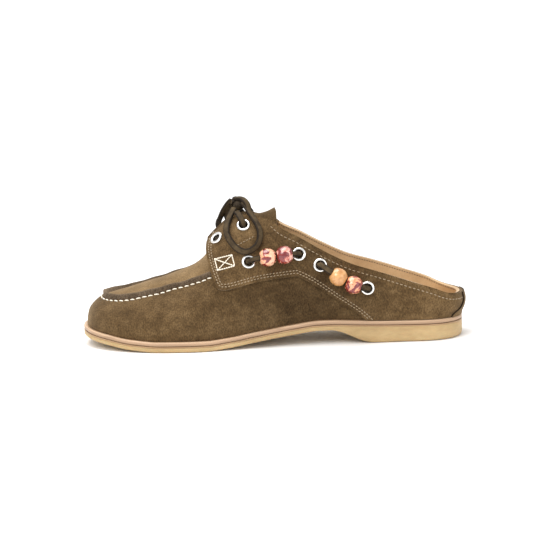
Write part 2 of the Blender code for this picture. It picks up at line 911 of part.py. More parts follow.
def skin_normal(along, degrees, side):
    """Outward normal of the saddle's skin."""
    step = NORMAL_STEP * SOLE_LENGTH
    toward_toe = skin_point(along + step, degrees, side, 0) - skin_point(along - step, degrees, side, 0)
    higher, lower = degrees + NORMAL_TURN, degrees - NORMAL_TURN
    upward = skin_point(along, higher, side, 0) - skin_point(along, lower, side, 0)
    normal = toward_toe.cross(upward).normalized()
    return normal if normal.y * side > 0 else -normal


def eyelet_place(letter):
    """Along and angle of the eyelet with this letter."""
    for name, along, degrees in EYELETS:
        if name == letter:
            return along * SOLE_LENGTH, degrees
    raise ValueError(letter)


def eyelet_frame(letter, side):
    """Matrix at an eyelet's centre on the saddle's face, with Z along the normal."""
    along, degrees = eyelet_place(letter)
    centre = skin_point(along, degrees, side, GAP + OVERLAY)
    turn = skin_normal(along, degrees, side).to_track_quat("Z", "X")
    return Matrix.LocRotScale(centre, turn, None)


def eyelet_holes():
    """One cutter with a round hole for each eyelet."""
    work = bmesh.new()
    for letter, _, _ in EYELETS:
        for side in (OUTER, INNER):
            bmesh.ops.create_cone(
                work,
                cap_ends=True,
                segments=TURNED_POINTS,
                radius1=EYELET_BORE / 2 + EYELET_WALL + GAP,
                radius2=EYELET_BORE / 2 + EYELET_WALL + GAP,
                depth=4 * OVERLAY,
                matrix=eyelet_frame(letter, side),
            )
    mesh = bpy.data.meshes.new("cut_eyelet_holes")
    work.to_mesh(mesh)
    work.free()
    made = bpy.data.objects.new("cut_eyelet_holes", mesh)
    bpy.context.scene.collection.objects.link(made)
    made.hide_render = True
    made.display_type = "WIRE"
    return made


def eyelets(finish):
    """Metal eyelets in the saddle, each a barrel with a domed flange."""
    bore, rim = EYELET_BORE / 2, EYELET_DIAMETER / 2
    barrel = bore + EYELET_WALL
    profile = (
        (bore, -OVERLAY),
        (barrel, -OVERLAY),
        (barrel, GAP),
        (rim, GAP),
        (0.5 * (bore + rim), GAP + EYELET_HEIGHT),
        (bore, GAP + 0.5 * EYELET_HEIGHT),
    )
    for letter, _, _ in EYELETS:
        for side, label in ((OUTER, "outer"), (INNER, "inner")):
            made = turned(f"eyelet_{label}_{letter}", profile, finish)
            made.matrix_world = eyelet_frame(letter, side)


def lace_entry(letter, side):
    """Where the lace starts inside an eyelet, and where it is clear of the flange."""
    frame = eyelet_frame(letter, side)
    clear = EYELET_HEIGHT + 1.3 * LACE_DIAMETER / 2
    return frame @ Vector((0, 0, -0.4 * OVERLAY)), frame @ Vector((0, 0, clear))


def run_points(run, side, height):
    """Route of the lace between two eyelets of a side, at a height over the saddle."""
    first, last, hang = RUNS[run]
    along_a, degrees_a = eyelet_place(first)
    along_b, degrees_b = eyelet_place(last)
    points = list(lace_entry(first, side))
    for share in RUN_SHARES:
        along = along_a + (along_b - along_a) * share
        degrees = degrees_a + (degrees_b - degrees_a) * share - hang * math.sin(math.pi * share)
        points.append(skin_point(along, degrees, side, GAP + OVERLAY + height))
    return points + list(lace_entry(last, side))[::-1]


def side_laces(finish):
    """The runs of lace that show between the side's eyelets."""
    for run, (first, last, _) in enumerate(RUNS):
        for side, label, height in (
            (OUTER, "outer", BEAD_DIAMETER / 2 + GAP),
            (INNER, "inner", LACE_DIAMETER / 2 + EYELET_HEIGHT + 2 * GAP),
        ):
            points = flowing(run_points(run, side, height), 1.2 * LACE_DIAMETER)
            tube(f"lace_{label}_{first}{last}", points, LACE_DIAMETER, finish)


def over_bar(letter, side):
    """Half a bar of lace that leaves its eyelet upward and runs over the flap to the slot."""
    along, _ = eyelet_place(letter)
    ahead = 1.2 * LACE_DIAMETER
    stand = GAP + OVERLAY + GAP + 1.15 * LACE_DIAMETER / 2
    half = list(lace_entry(letter, side))
    for share, degrees, extra in ((0.6, 71.5, EYELET_HEIGHT + GAP), (1.0, BAR_TURN, 0.0)):
        half.append(skin_point(along + share * ahead, degrees, side, stand + extra))
    return half


def under_bar(letter, side):
    """Half a bar of lace that goes down its eyelet and runs under the flap to the slot."""
    along, _ = eyelet_place(letter)
    frame = eyelet_frame(letter, side)
    drop = Vector((0, 0, float(flap_rise(along)) - LACE_DIAMETER))
    return [
        frame @ Vector((0, 0, 0)),
        frame @ Vector((0, 0, -OVERLAY - GAP - LACE_DIAMETER / 2)),
        skin_point(along, BAR_TURN, side, 0) - drop,
    ]


def front_laces(finish):
    """The two bars of lace that cross the slot and pull the flaps together."""
    for name, letter, half in (("lace_front_bar", "a", under_bar), ("lace_top_bar", "b", over_bar)):
        outer, inner = half(letter, OUTER), half(letter, INNER)
        peak = 0.5 * (outer[-1] + inner[-1])
        points = flowing(outer + [peak] + inner[::-1], 0.8 * LACE_DIAMETER)
        tube(name, points, LACE_DIAMETER, finish)


def knot_exit(toward):
    """Point just clear of the knot's surface in the direction of another point."""
    along, across, height = KNOT_PLACE
    centre = Vector(from_side(along, height, across))
    way = (toward - centre).normalized()
    shape = Vector((way.x * 2 / KNOT_LENGTH, way.y * 2 / KNOT_WIDTH, way.z * 2 / KNOT_HEIGHT))
    return centre + way * (1 / shape.length + GAP + 0.2 * LACE_DIAMETER / 2)


def bow(finish):
    """Knot of the bow, its two loops and its two short ends."""
    work = bmesh.new()
    bmesh.ops.create_uvsphere(work, u_segments=TURNED_POINTS, v_segments=8, radius=0.5)
    mesh = bpy.data.meshes.new("lace_knot")
    bmesh.ops.scale(work, vec=(KNOT_LENGTH, KNOT_WIDTH, KNOT_HEIGHT), verts=work.verts)
    work.to_mesh(mesh)
    work.free()
    mesh.materials.append(finish)
    mesh.shade_smooth()
    knot = bpy.data.objects.new("lace_knot", mesh)
    along, across, height = KNOT_PLACE
    knot.location = from_side(along, height, across)
    bpy.context.scene.collection.objects.link(knot)
    for name, rows, closed in (
        ("lace_loop_outer", LOOP_OUTER, True),
        ("lace_loop_inner", LOOP_INNER, True),
        ("lace_end_front", END_FRONT, False),
        ("lace_end_back", END_BACK, False),
    ):
        points = [Vector(from_side(a, b, c)) for a, c, b in rows]
        points.insert(0, knot_exit(points[0]))
        if closed:
            points.append(knot_exit(points[-1]))
        tube(name, flowing(points, 1.7 * LACE_DIAMETER), LACE_DIAMETER, finish)


def beads(finishes):
    """Round beads threaded on the outer side's runs of lace."""
    bore, radius, half = BEAD_BORE / 2, BEAD_DIAMETER / 2, BEAD_LENGTH / 2
    profile = (
        (bore, -half),
        (0.66 * radius, -half),
        (0.94 * radius, -0.5 * half),
        (radius, 0.0),
        (0.94 * radius, 0.5 * half),
        (0.66 * radius, half),
        (bore, half),
    )
    for (name, run, share, place), finish in zip(BEADS, finishes):
        first, last, _ = RUNS[run]
        route = run_points(run, OUTER, BEAD_DIAMETER / 2 + GAP)
        points = flowing(route, BEAD_STEP)
        start, end = eyelet_frame(first, OUTER).translation, eyelet_frame(last, OUTER).translation
        way = (end - start).normalized()
        travel = (points - np.array(start)) @ np.array(way)
        middle_travel = share * (end - start).length
        i = int(np.argmin(np.abs(travel - middle_travel - place * (BEAD_LENGTH + BEAD_SPACE))))
        near = round(0.3 * BEAD_LENGTH / BEAD_STEP)
        axis = Vector(points[i + near] - points[i - near]).normalized()
        made = turned(name, profile, finish)
        made.matrix_world = Matrix.LocRotScale(Vector(points[i]), axis.to_track_quat("Z", "Y"), None)


def main():
    for made in list(bpy.data.objects):
        bpy.data.objects.remove(made)

    suede = material("suede", (0.16, 0.10, 0.05), 0.95)
    suede_light = material("suede_apron", (0.26, 0.16, 0.07), 0.95)
    leather_edge = material("midsole_leather", (0.56, 0.36, 0.22), 0.55)
    crepe = material("crepe", (0.64, 0.42, 0.19), 0.6)
    lining = material("lining_leather", (0.60, 0.37, 0.18), 0.6)
    metal = material("eyelet_metal", (0.80, 0.79, 0.76), 0.3, 1.0)
    lace = material("lace_leather", (0.10, 0.06, 0.035), 0.7)
    marbled = material("bead_marbled", (0.62, 0.26, 0.20), 0.25)
    plain_wood = material("bead_wood", (0.74, 0.38, 0.13), 0.3)

    outsole(crepe)
    midsole(leather_edge)
    insole(lining)
    under, topline = under_cutter(), topline_cutter()
    upper(suede_light, under, topline)
    saddle(suede, under, topline)
    back_strip(suede, under, topline)
    apron_seam(suede)
    tongue(suede)
    eyelets(metal)
    side_laces(lace)
    front_laces(lace)
    bow(lace)
    beads((marbled, marbled, plain_wood, marbled))


main()
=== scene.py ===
import math
import random

import bmesh
import bpy
import numpy as np
from mathutils import Matrix, Vector
from mathutils.bvhtree import BVHTree


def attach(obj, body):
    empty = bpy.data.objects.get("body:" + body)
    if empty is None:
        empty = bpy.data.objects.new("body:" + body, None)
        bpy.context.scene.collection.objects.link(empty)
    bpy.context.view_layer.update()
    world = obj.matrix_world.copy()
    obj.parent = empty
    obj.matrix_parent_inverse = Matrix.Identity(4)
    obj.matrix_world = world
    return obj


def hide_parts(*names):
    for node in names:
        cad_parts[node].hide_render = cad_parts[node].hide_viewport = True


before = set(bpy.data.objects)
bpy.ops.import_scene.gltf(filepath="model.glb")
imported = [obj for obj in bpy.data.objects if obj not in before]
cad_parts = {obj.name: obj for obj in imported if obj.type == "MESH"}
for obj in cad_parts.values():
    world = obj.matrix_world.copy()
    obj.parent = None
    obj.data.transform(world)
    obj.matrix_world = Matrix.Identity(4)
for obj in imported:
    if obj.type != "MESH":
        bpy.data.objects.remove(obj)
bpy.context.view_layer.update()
print("frame loaded")

outerSide, innerSide = -1, 1
heelMiddle = 0.032  # from the sole's back end to the middle of the heel's rest

# camera: the photo's side view, a little from above and a little rolled
view = {
    "elevation": 9.0,
    "roll": 1.7,
    "distance": 1.30,
    "aimAlong": 0.1312,
    "aimHeight": 0.0444,
    "lens": 120.6,
}


def makeCamera():
    tilt = math.radians(view["elevation"])
    back = Vector((0, -math.cos(tilt), math.sin(tilt)))
    right = Vector((1, 0, 0))
    up = back.cross(right)
    turn = Matrix((right, up, back)).transposed().to_4x4()
    turn = turn @ Matrix.Rotation(-math.radians(view["roll"]), 4, "Z")
    aim = Vector((heelMiddle - view["aimAlong"], 0, view["aimHeight"]))
    data = bpy.data.cameras.new("camera")
    data.lens = view["lens"]
    camera = bpy.data.objects.new("camera", data)
    camera.matrix_world = Matrix.Translation(aim + back * view["distance"]) @ turn
    bpy.context.scene.collection.objects.link(camera)
    bpy.context.scene.camera = camera


makeCamera()

# the last and the sole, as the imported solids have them
sole = {
    "length": 0.2675,
    "ballWidth": 0.094,
    "waistWidth": 0.060,
    "heelWidth": 0.063,
    "outsole": 0.0030,
    "midsole": 0.0040,
    "insole": 0.0030,
    "heelRise": 0.0077,
    "archRise": 0.0095,
    "toeSpring": 0.0070,
    "ledge": 0.0025,
    "heelBreast": (0.237, 0.350),
}
last = {
    "toeHeight": 0.0325,
    "instepHeight": 0.0940,
    "backHeight": 0.0161,
    "frontTopHeight": 0.0850,
    "lean": 0.0030,
    "swell": 0.035,
    "ridgeEnd": 0.415,
    "ridgeArc": 0.06,
    "roundRise": 0.045,
}
layers = {"wall": 0.0022, "overlay": 0.0016, "strip": 0.0010, "tongue": 0.0018, "gap": 0.0003}
flaps = {
    "rise": 0.0165,
    "slot": 0.0190,
    "slotBack": 0.3,
    "throat": 0.0360,
    "throatReach": (0.478, 0.647),
    "round": (36.0, 66.0),
}
tongueSet = {
    "rise": 0.0055,
    "width": 0.0420,
    "round": (52.0, 74.0),
    "reach": (0.4790, 0.712),
    "notch": 0.0026,
    "notchAcross": 0.004,
}

# along (share of length), heel to waist, waist to ball, shift of the middle (share of ball width)
planTable = (
    (0.000, 0.00, 0.000, -0.003), (0.130, 0.00, 0.000, -0.003), (0.225, 0.02, 0.000, -0.011),
    (0.340, 1.00, 0.000, -0.032), (0.430, 1.00, 0.045, -0.045), (0.526, 1.00, 0.265, -0.048),
    (0.620, 1.00, 0.660, -0.035), (0.714, 1.00, 0.985, -0.016), (0.810, 1.00, 1.000, -0.003),
    (0.865, 1.00, 1.000, 0.008), (0.921, 1.00, 1.000, 0.024), (1.000, 1.00, 1.000, 0.048),
)
# along, share of heel rise, of arch rise, of toe spring
riseTable = (
    (0.000, 0.97, 0.00, 0.00), (0.170, 1.01, 0.00, 0.00), (0.270, 0.50, 0.50, 0.00),
    (0.360, 0.00, 1.00, 0.00), (0.380, 0.00, 1.00, 0.00), (0.450, 0.00, 0.78, 0.00),
    (0.555, 0.00, 0.37, 0.00), (0.610, 0.00, 0.15, 0.00), (0.670, 0.00, 0.00, 0.00),
    (0.800, 0.00, 0.00, 0.00), (0.850, 0.00, 0.00, 0.13), (0.880, 0.00, 0.00, 0.24),
    (0.920, 0.00, 0.00, 0.48), (0.970, 0.00, 0.00, 0.75), (1.000, 0.00, 0.00, 1.00),
)
# back curve: height and place along, as shares of the back's height
backTable = (
    (0.00, 0.194), (0.18, 0.170), (0.29, 0.120), (0.47, 0.041), (0.67, 0.012), (0.88, 0.053),
    (1.00, 0.088), (2.35, 0.470), (4.70, 1.470), (6.50, 2.300),
)
# toe's wall: setback from the tip and height, as shares of the wall
toeWallTable = ((0.000, 0.00), (0.021, 0.29), (0.089, 0.55), (0.193, 0.71), (0.310, 0.83), (0.530, 1.00))
# ridge of the last: along, height from the toe's (0) to the instep's (1)
crownTable = (
    (0.000, 1.420), (0.188, 1.325), (0.300, 1.195), (0.410, 1.050), (0.470, 0.984), (0.504, 0.951),
    (0.526, 0.940), (0.545, 0.927), (0.564, 0.902), (0.583, 0.862), (0.602, 0.797), (0.624, 0.707),
    (0.647, 0.600), (0.665, 0.490), (0.682, 0.410), (0.714, 0.320), (0.751, 0.262), (0.785, 0.209),
    (0.825, 0.163), (0.878, 0.094), (0.923, 0.044),
)
# along, power of the cross-section (2 is an ellipse)
fullnessTable = ((0.000, 2.0), (0.580, 2.0), (0.700, 2.2), (0.850, 2.6), (1.000, 2.8))
# collar: along, climb from the top of the back (0) to the top of the front (1)
toplineTable = (
    (-0.080, 0.000), (0.000, 0.000), (0.020, 0.004), (0.042, 0.026), (0.082, 0.107), (0.135, 0.196),
    (0.214, 0.328), (0.293, 0.452), (0.321, 0.513), (0.374, 0.650), (0.427, 0.800), (0.470, 0.908),
    (0.484, 0.969), (0.493, 1.005), (0.510, 1.032), (0.535, 1.055), (0.546, 1.085), (0.552, 1.400),
)
# saddle's edge: along, height as a share of the instep's
saddleTable = (
    (0.215, -0.100), (0.256, 0.155), (0.345, 0.350), (0.396, 0.454), (0.431, 0.508), (0.437, 0.513),
    (0.446, 0.511), (0.530, 0.488), (0.595, 0.448), (0.620, 0.438), (0.633, 0.443), (0.641, 0.462),
    (0.648, 0.505), (0.659, 0.590), (0.666, 0.668), (0.668, 0.725), (0.666, 0.765), (0.662, 0.800),
    (0.656, 0.830), (0.652, 1.200),
)
# along, share of the flaps' rise, and below of the tongue's
flapTable = (
    (0.480, 0.00), (0.504, 0.00), (0.526, 0.03), (0.545, 0.07), (0.564, 0.14), (0.583, 0.22),
    (0.602, 0.33), (0.620, 0.37), (0.639, 0.39), (0.658, 0.47), (0.677, 0.60), (0.700, 0.64),
    (0.752, 0.00),
)
tongueTable = (
    (0.470, 0.82), (0.492, 0.60), (0.510, 0.33), (0.527, 0.22), (0.545, 0.25), (0.564, 0.25),
    (0.580, 0.16), (0.600, 0.00), (0.750, 0.00),
)
# apron: along, half width as a share of the ball's
apronTable = (
    (0.9395, 0.000), (0.9365, 0.066), (0.9300, 0.105), (0.9180, 0.143), (0.9000, 0.177),
    (0.8780, 0.203), (0.8500, 0.221), (0.8100, 0.230), (0.7740, 0.232), (0.7400, 0.237),
    (0.7050, 0.246), (0.6850, 0.258), (0.6650, 0.273), (0.6520, 0.288),
)
# back strip: height as a share of the back's, half width as a share of the heel's
backStripTable = (
    (1.30, 0.185), (0.95, 0.192), (0.64, 0.206), (0.33, 0.270), (0.08, 0.365), (-0.30, 0.400),
)


def smoothCurve(table, column=1):
    rows = np.array(table, dtype=float)
    x, y = rows[:, 0], rows[:, column]
    run = np.diff(x)
    slope = np.diff(y) / run
    tangent = np.concatenate([[slope[0]], np.zeros(len(run) - 1), [slope[-1]]])
    for i in range(1, len(run)):
        if slope[i - 1] * slope[i] > 0:
            before, after = run[i - 1] + 2 * run[i], 2 * run[i - 1] + run[i]
            tangent[i] = (before + after) / (before / slope[i - 1] + after / slope[i])

    def curve(at):
        at = np.clip(at, x[0], x[-1])
        i = np.clip(np.searchsorted(x, at, side="right") - 1, 0, len(run) - 1)
        t = (at - x[i]) / run[i]
        start = y[i] * (1 + 2 * t) + tangent[i] * run[i] * t
        end = y[i + 1] * (3 - 2 * t) - tangent[i + 1] * run[i] * (1 - t)
        return start * (1 - t) ** 2 + end * t**2

    return curve


def blendStep(x, low, high):
    t = np.clip((x - low) / (high - low), 0.0, 1.0)
    return t * t * (3 - 2 * t)


def unit(vectors):
    return vectors / np.maximum(np.linalg.norm(vectors, axis=-1, keepdims=True), 1e-15)


def fromHeel(points):
    # distance from the sole's back end, across, height
    return heelMiddle - points[..., 0], points[..., 1], points[..., 2]


length = sole["length"]
waistShare, ballShare, shiftShare = (smoothCurve(planTable, column) for column in (1, 2, 3))
rises = (sole["heelRise"], sole["archRise"], sole["toeSpring"])
riseCurve = smoothCurve([(row[0], np.dot(row[1:], rises)) for row in riseTable])
toeRound = {"start": 0.714 * length, "power": 2.33}
heelRound = {"reach": 0.48 * sole["heelWidth"], "power": 2.2}


def halfWidth(along):
    share = along / length
    width = sole["heelWidth"] + (sole["waistWidth"] - sole["heelWidth"]) * waistShare(share)
    return 0.5 * (width + (sole["ballWidth"] - sole["waistWidth"]) * ballShare(share))


def middleAt(along):
    return sole["ballWidth"] * shiftShare(along / length)


def endRounding(along, back, tip):
    towardTip = np.clip((along - toeRound["start"]) / (tip - toeRound["start"]), 0.0, 1.0)
    towardBack = np.clip(1 - (along - back) / heelRound["reach"], 0.0, 1.0)
    toe = (1 - towardTip ** toeRound["power"]) ** (1 / toeRound["power"])
    return toe * (1 - towardBack ** heelRound["power"]) ** (1 / heelRound["power"])


def deckAt(along):
    return sole["outsole"] + riseCurve(along / length)


def seatAt(along):
    return deckAt(along) + sole["midsole"]


def treadAt(along):
    breast, front = (share * length for share in sole["heelBreast"])
    return riseCurve(along / length) * blendStep(along, breast, front)


tip = length - sole["ledge"]
toeSeat = float(seatAt(length))
toeWall = last["toeHeight"] - toeSeat
backCurve = smoothCurve(np.array(backTable) * last["backHeight"])
fullness = smoothCurve(fullnessTable)
crownRows = [
    (a * length, last["toeHeight"] + b * (last["instepHeight"] - last["toeHeight"]))
    for a, b in crownTable
]
crownRows += [(tip - a * toeWall, toeSeat + b * toeWall) for a, b in toeWallTable[::-1]]
crownCurve = smoothCurve(crownRows)
flapCurve, tongueCurve = smoothCurve(flapTable), smoothCurve(tongueTable)


def upShare(along, height):
    low = seatAt(along)
    return np.clip((height - low) / np.maximum(crownCurve(along) - low, 1e-6), 0.0, 1.0)


def skinReach(along, height, back):
    up = upShare(along, height)
    edge = (halfWidth(along) - sole["ledge"]) * endRounding(along, back, tip)
    crown = np.sqrt(np.maximum(1 - up ** fullness(along), 0.0))
    return edge * (1 + last["swell"] * np.sin(math.pi * up)) * crown


def skinMiddle(along, up):
    return middleAt(along) + last["lean"] * up**2 * blendStep(length - along, 0, 0.3 * length)


def liftShare(along, up, around):
    angle = np.degrees(np.arcsin(np.sqrt(np.clip(up, 0, 1) ** fullness(along))))
    return up * blendStep(angle, *around)


ridgeToe = tip - np.linspace(0, 1, 60) ** 2 * last["ridgeArc"] * length
ridgeLine = np.concatenate([ridgeToe, np.linspace(ridgeToe[-1], last["ridgeEnd"] * length, 240)[1:]])
ridgeTravel = np.concatenate(
    [[0], np.cumsum(np.hypot(np.diff(ridgeLine), np.diff(crownCurve(ridgeLine))))]
)


def flapRise(along):
    return flaps["rise"] * flapCurve(along / length)


def tongueRise(along):
    return tongueSet["rise"] * tongueCurve(along / length)


def skinAt(turn, level, lift=None, around=None):
    front = np.interp(level * ridgeTravel[-1], ridgeTravel, ridgeLine)
    frontHeight = crownCurve(front)
    low = np.clip((frontHeight - toeSeat) / (last["roundRise"] - toeSeat), 0.0, 1.0)

    def ringHeight(along):
        return frontHeight + (seatAt(along) - seatAt(front)) * (1 - low) ** 2

    back = backCurve(ringHeight(0.0) - seatAt(0.0))
    along = 0.5 * (front + back) + 0.5 * (front - back) * np.cos(turn)
    height = ringHeight(along)
    up = upShare(along, height)
    side = -np.sign(np.round(np.sin(turn), 9))
    across = skinMiddle(along, up) + side * skinReach(along, height, back)
    if lift is not None:
        height = height + lift(along) * liftShare(along, up, around)
    return np.stack([heelMiddle - along, across, height], axis=-1)


# soft troughs (-) and ridges (+) of the suede: side, depth, half width, places (along, height)
folds = (
    (outerSide, -0.00055, 0.0100, ((0.2080, 0.0270), (0.1880, 0.0250), (0.1700, 0.0290))),
    (outerSide, 0.00040, 0.0026, ((0.2010, 0.0330), (0.1900, 0.0352), (0.1820, 0.0372))),
    (outerSide, -0.00035, 0.0018, ((0.2030, 0.0172), (0.1950, 0.0176), (0.1870, 0.0188))),
    (outerSide, 0.00028, 0.0018, ((0.2040, 0.0140), (0.1960, 0.0145), (0.1890, 0.0150))),
    (outerSide, -0.00045, 0.0050, ((0.1480, 0.0240), (0.1330, 0.0300), (0.1200, 0.0330))),
    (outerSide, 0.00035, 0.0045, ((0.0700, 0.0290), (0.0620, 0.0270), (0.0560, 0.0230))),
    (outerSide, -0.00035, 0.0028, ((0.0640, 0.0215), (0.0520, 0.0225), (0.0430, 0.0215))),
    (outerSide, -0.00030, 0.0030, ((0.0300, 0.0260), (0.0220, 0.0240), (0.0150, 0.0200))),
    (outerSide, -0.00040, 0.0040, ((0.2380, 0.0200), (0.2300, 0.0260), (0.2180, 0.0300))),
    (innerSide, -0.00055, 0.0090, ((0.2050, 0.0250), (0.1850, 0.0240), (0.1680, 0.0300))),
    (innerSide, 0.00035, 0.0030, ((0.1960, 0.0340), (0.1860, 0.0356), (0.1780, 0.0380))),
    (innerSide, -0.00040, 0.0050, ((0.1400, 0.0280), (0.1240, 0.0340), (0.1100, 0.0340))),
    (innerSide, -0.00035, 0.0030, ((0.0660, 0.0230), (0.0540, 0.0240), (0.0420, 0.0220))),
)


def toPolyline(px, pz, line):
    best = np.full(px.shape, 1e9)
    for (ax, az), (bx, bz) in zip(line, line[1:]):
        run = (bx - ax) ** 2 + (bz - az) ** 2 + 1e-18
        t = np.clip(((px - ax) * (bx - ax) + (pz - az) * (bz - az)) / run, 0.0, 1.0)
        best = np.minimum(best, (px - ax - t * (bx - ax)) ** 2 + (pz - az - t * (bz - az)) ** 2)
    return np.sqrt(best)


def insideOutline(px, pz, outline):
    # distance to an outline, positive inside it
    closed = list(outline) + [outline[0]]
    inside = np.zeros(px.shape, bool)
    for (ax, az), (bx, bz) in zip(closed, closed[1:]):
        if az != bz:
            cross = (az > pz) != (bz > pz)
            inside ^= cross & (px < ax + (pz - az) * (bx - ax) / (bz - az))
    return np.where(inside, 1.0, -1.0) * toPolyline(px, pz, closed)


def foldDepth(points):
    along, across, height = fromHeel(points)
    depth = np.zeros(along.shape)
    for side, amount, width, places in folds:
        near = np.exp(-((toPolyline(along, height, places) / width) ** 2))
        depth += amount * near * blendStep(side * across, 0.004, 0.012)
    return depth


def surface(lift=None, around=None, out=0.0, folded=True):
    # a place function: points and normals of the skin moved out by a distance
    step = 0.006

    def place(turn, level):
        def base(a, b):
            return skinAt(a, np.clip(b, 0.0, 1.0), lift, around)

        here = base(turn, level)
        roundWay = base(turn + step, level) - base(turn - step, level)
        upWay = base(turn, level + step) - base(turn, level - step)
        normal = unit(np.cross(roundWay, upWay))
        depth = foldDepth(here) if folded else 0.0
        return here + normal * (np.asarray(out + depth)[..., None]), normal

    return place


def finishMesh(name, points, faces, finishes, slots=None, sharp=45.0):
    mesh = bpy.data.meshes.new(name)
    mesh.from_pydata([tuple(p) for p in points], [], faces)
    for finish in finishes:
        mesh.materials.append(finish)
    if slots is not None:
        mesh.polygons.foreach_set("material_index", slots)
    mesh.shade_smooth()
    mesh.set_sharp_from_angle(angle=math.radians(sharp))
    made = bpy.data.objects.new(name, mesh)
    bpy.context.scene.collection.objects.link(made)
    return made


def addAttribute(piece, name, values):
    layer = piece.data.attributes.new(name, "FLOAT", "POINT")
    layer.data.foreach_set("value", np.asarray(values, dtype=np.float32))


def coordinates(piece):
    found = np.zeros(len(piece.data.vertices) * 3, np.float32)
    piece.data.vertices.foreach_get("co", found)
    return found.reshape(-1, 3).astype(float)


def cutSheet(name, place, keep, turns, levels, thickness, finishes):
    # a wall between the surface and its inside, cut clean where keep falls under 0
    start, end, countTurn, closed = turns
    low, high, countLevel = levels
    us = np.linspace(start, end, countTurn, endpoint=not closed)
    vs = np.linspace(low, high, countLevel)
    grid = np.stack(np.meshgrid(us, vs, indexing="ij"), axis=-1).reshape(-1, 2)
    index = np.arange(countTurn * countLevel).reshape(countTurn, countLevel)
    after = np.roll(index, -1, axis=0)
    wrap = np.zeros(index.shape)
    wrap[-1] = end - start
    rows = slice(None) if closed else slice(0, -1)
    fromEnds = np.concatenate([index[rows].ravel(), index[:, :-1].ravel()])
    toEnds = np.concatenate([after[rows].ravel(), index[:, 1:].ravel()])
    shift = np.concatenate([wrap[rows].ravel(), np.zeros(index[:, :-1].size)])

    def valueAt(param):
        return keep(place(param[:, 0], param[:, 1])[0])

    def roots(which):
        a = grid[fromEnds[which]]
        b = grid[toEnds[which]] + np.stack([shift[which], np.zeros(len(which))], axis=1)
        sign = value[fromEnds[which]] > 0
        near, far = np.zeros(len(which)), np.ones(len(which))
        for _ in range(9):
            half = 0.5 * (near + far)
            same = (valueAt(a + (b - a) * half[:, None]) > 0) == sign
            near, far = np.where(same, half, near), np.where(same, far, half)
        return 0.5 * (near + far), a, b

    value = valueAt(grid)
    crossing = np.nonzero(value[fromEnds] * value[toEnds] < 0)[0]
    share, a, b = roots(crossing)
    best = {}
    for edge, t, pa, pb in zip(crossing, share, a, b):
        vertex, far = (fromEnds[edge], t) if t < 0.5 else (toEnds[edge], 1 - t)
        if far < 0.3 and far < best.get(vertex, (1.0,))[0]:
            best[vertex] = (far, pa + (pb - pa) * t - (np.array([shift[edge], 0]) if t >= 0.5 else 0))
    for vertex, (_, param) in best.items():
        grid[vertex] = param
        value[vertex] = 0.0
    crossing = np.nonzero(value[fromEnds] * value[toEnds] < 0)[0]
    share, a, b = roots(crossing)
    extra = a + (b - a) * share[:, None]
    cutOn = {}
    for number, edge in enumerate(crossing):
        pair = (int(fromEnds[edge]), int(toEnds[edge]))
        cutOn[pair] = cutOn[pair[::-1]] = len(grid) + number
    params = np.concatenate([grid, extra])
    faces = []
    for i in range(countTurn if closed else countTurn - 1):
        for j in range(countLevel - 1):
            corners = (index[i, j], after[i, j], after[i, j + 1], index[i, j + 1])
            signs = value[list(corners)]
            if signs.max() <= 0:
                continue
            if signs.min() >= 0:
                faces.append([int(c) for c in corners])
                continue
            ring = []
            for k in range(4):
                here, there = int(corners[k]), int(corners[(k + 1) % 4])
                if value[here] >= 0:
                    ring.append(here)
                if (here, there) in cutOn:
                    ring.append(cutOn[(here, there)])
            if len(ring) >= 3:
                faces.append(ring)
    used = sorted({c for face in faces for c in face})
    renumber = {c: k for k, c in enumerate(used)}
    faces = [[renumber[c] for c in face] for face in faces]
    outerPoints, normal = place(params[used, 0], params[used, 1])
    if normal[np.argmin(outerPoints[:, 1]), 1] > 0:
        normal = -normal
    innerPoints = outerPoints - normal * thickness
    count = len(used)
    seen = {}
    for face in faces:
        for p, q in zip(face, face[1:] + face[:1]):
            seen[(p, q)] = seen.get((p, q), 0) + 1
    rim = [(q, p, p + count, q + count) for p, q in seen if (q, p) not in seen]
    allFaces = faces + [[c + count for c in face[::-1]] for face in faces] + rim
    slots = [0] * len(faces) + [1] * len(faces) + [2] * len(rim)
    made = finishMesh(name, np.concatenate([outerPoints, innerPoints]), allFaces, finishes, slots)
    return tidyNormals(made)


def tidyNormals(piece):
    work = bmesh.new()
    work.from_mesh(piece.data)
    bmesh.ops.dissolve_degenerate(work, edges=work.edges, dist=1e-6)
    bmesh.ops.recalc_face_normals(work, faces=work.faces)
    if work.calc_volume(signed=True) < 0:
        bmesh.ops.reverse_faces(work, faces=work.faces)
    work.to_mesh(piece.data)
    work.free()
    return piece


def tubeFaces(rings, count, start=0, closed=False, capped=False):
    # quads between neighbouring rings of points, and the two ends
    faces = []
    for i in range(rings if closed else rings - 1):
        here, there = start + i * count, start + (i + 1) % rings * count
        for j in range(count):
            k = (j + 1) % count
            faces.append((here + j, here + k, there + k, there + j))
    if capped:
        lastRing = start + (rings - 1) * count
        faces += [tuple(range(start, start + count))[::-1], tuple(range(lastRing, lastRing + count))]
    return faces


def dress(piece, node=None):
    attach(piece, "root")
    if node:
        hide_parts(node)
    return piece


def travelOf(points):
    return np.concatenate([[0], np.cumsum(np.linalg.norm(np.diff(points, axis=0), axis=1))])


def atTravel(wanted, travel, rows):
    return np.stack([np.interp(wanted, travel, column) for column in rows.T], axis=1)


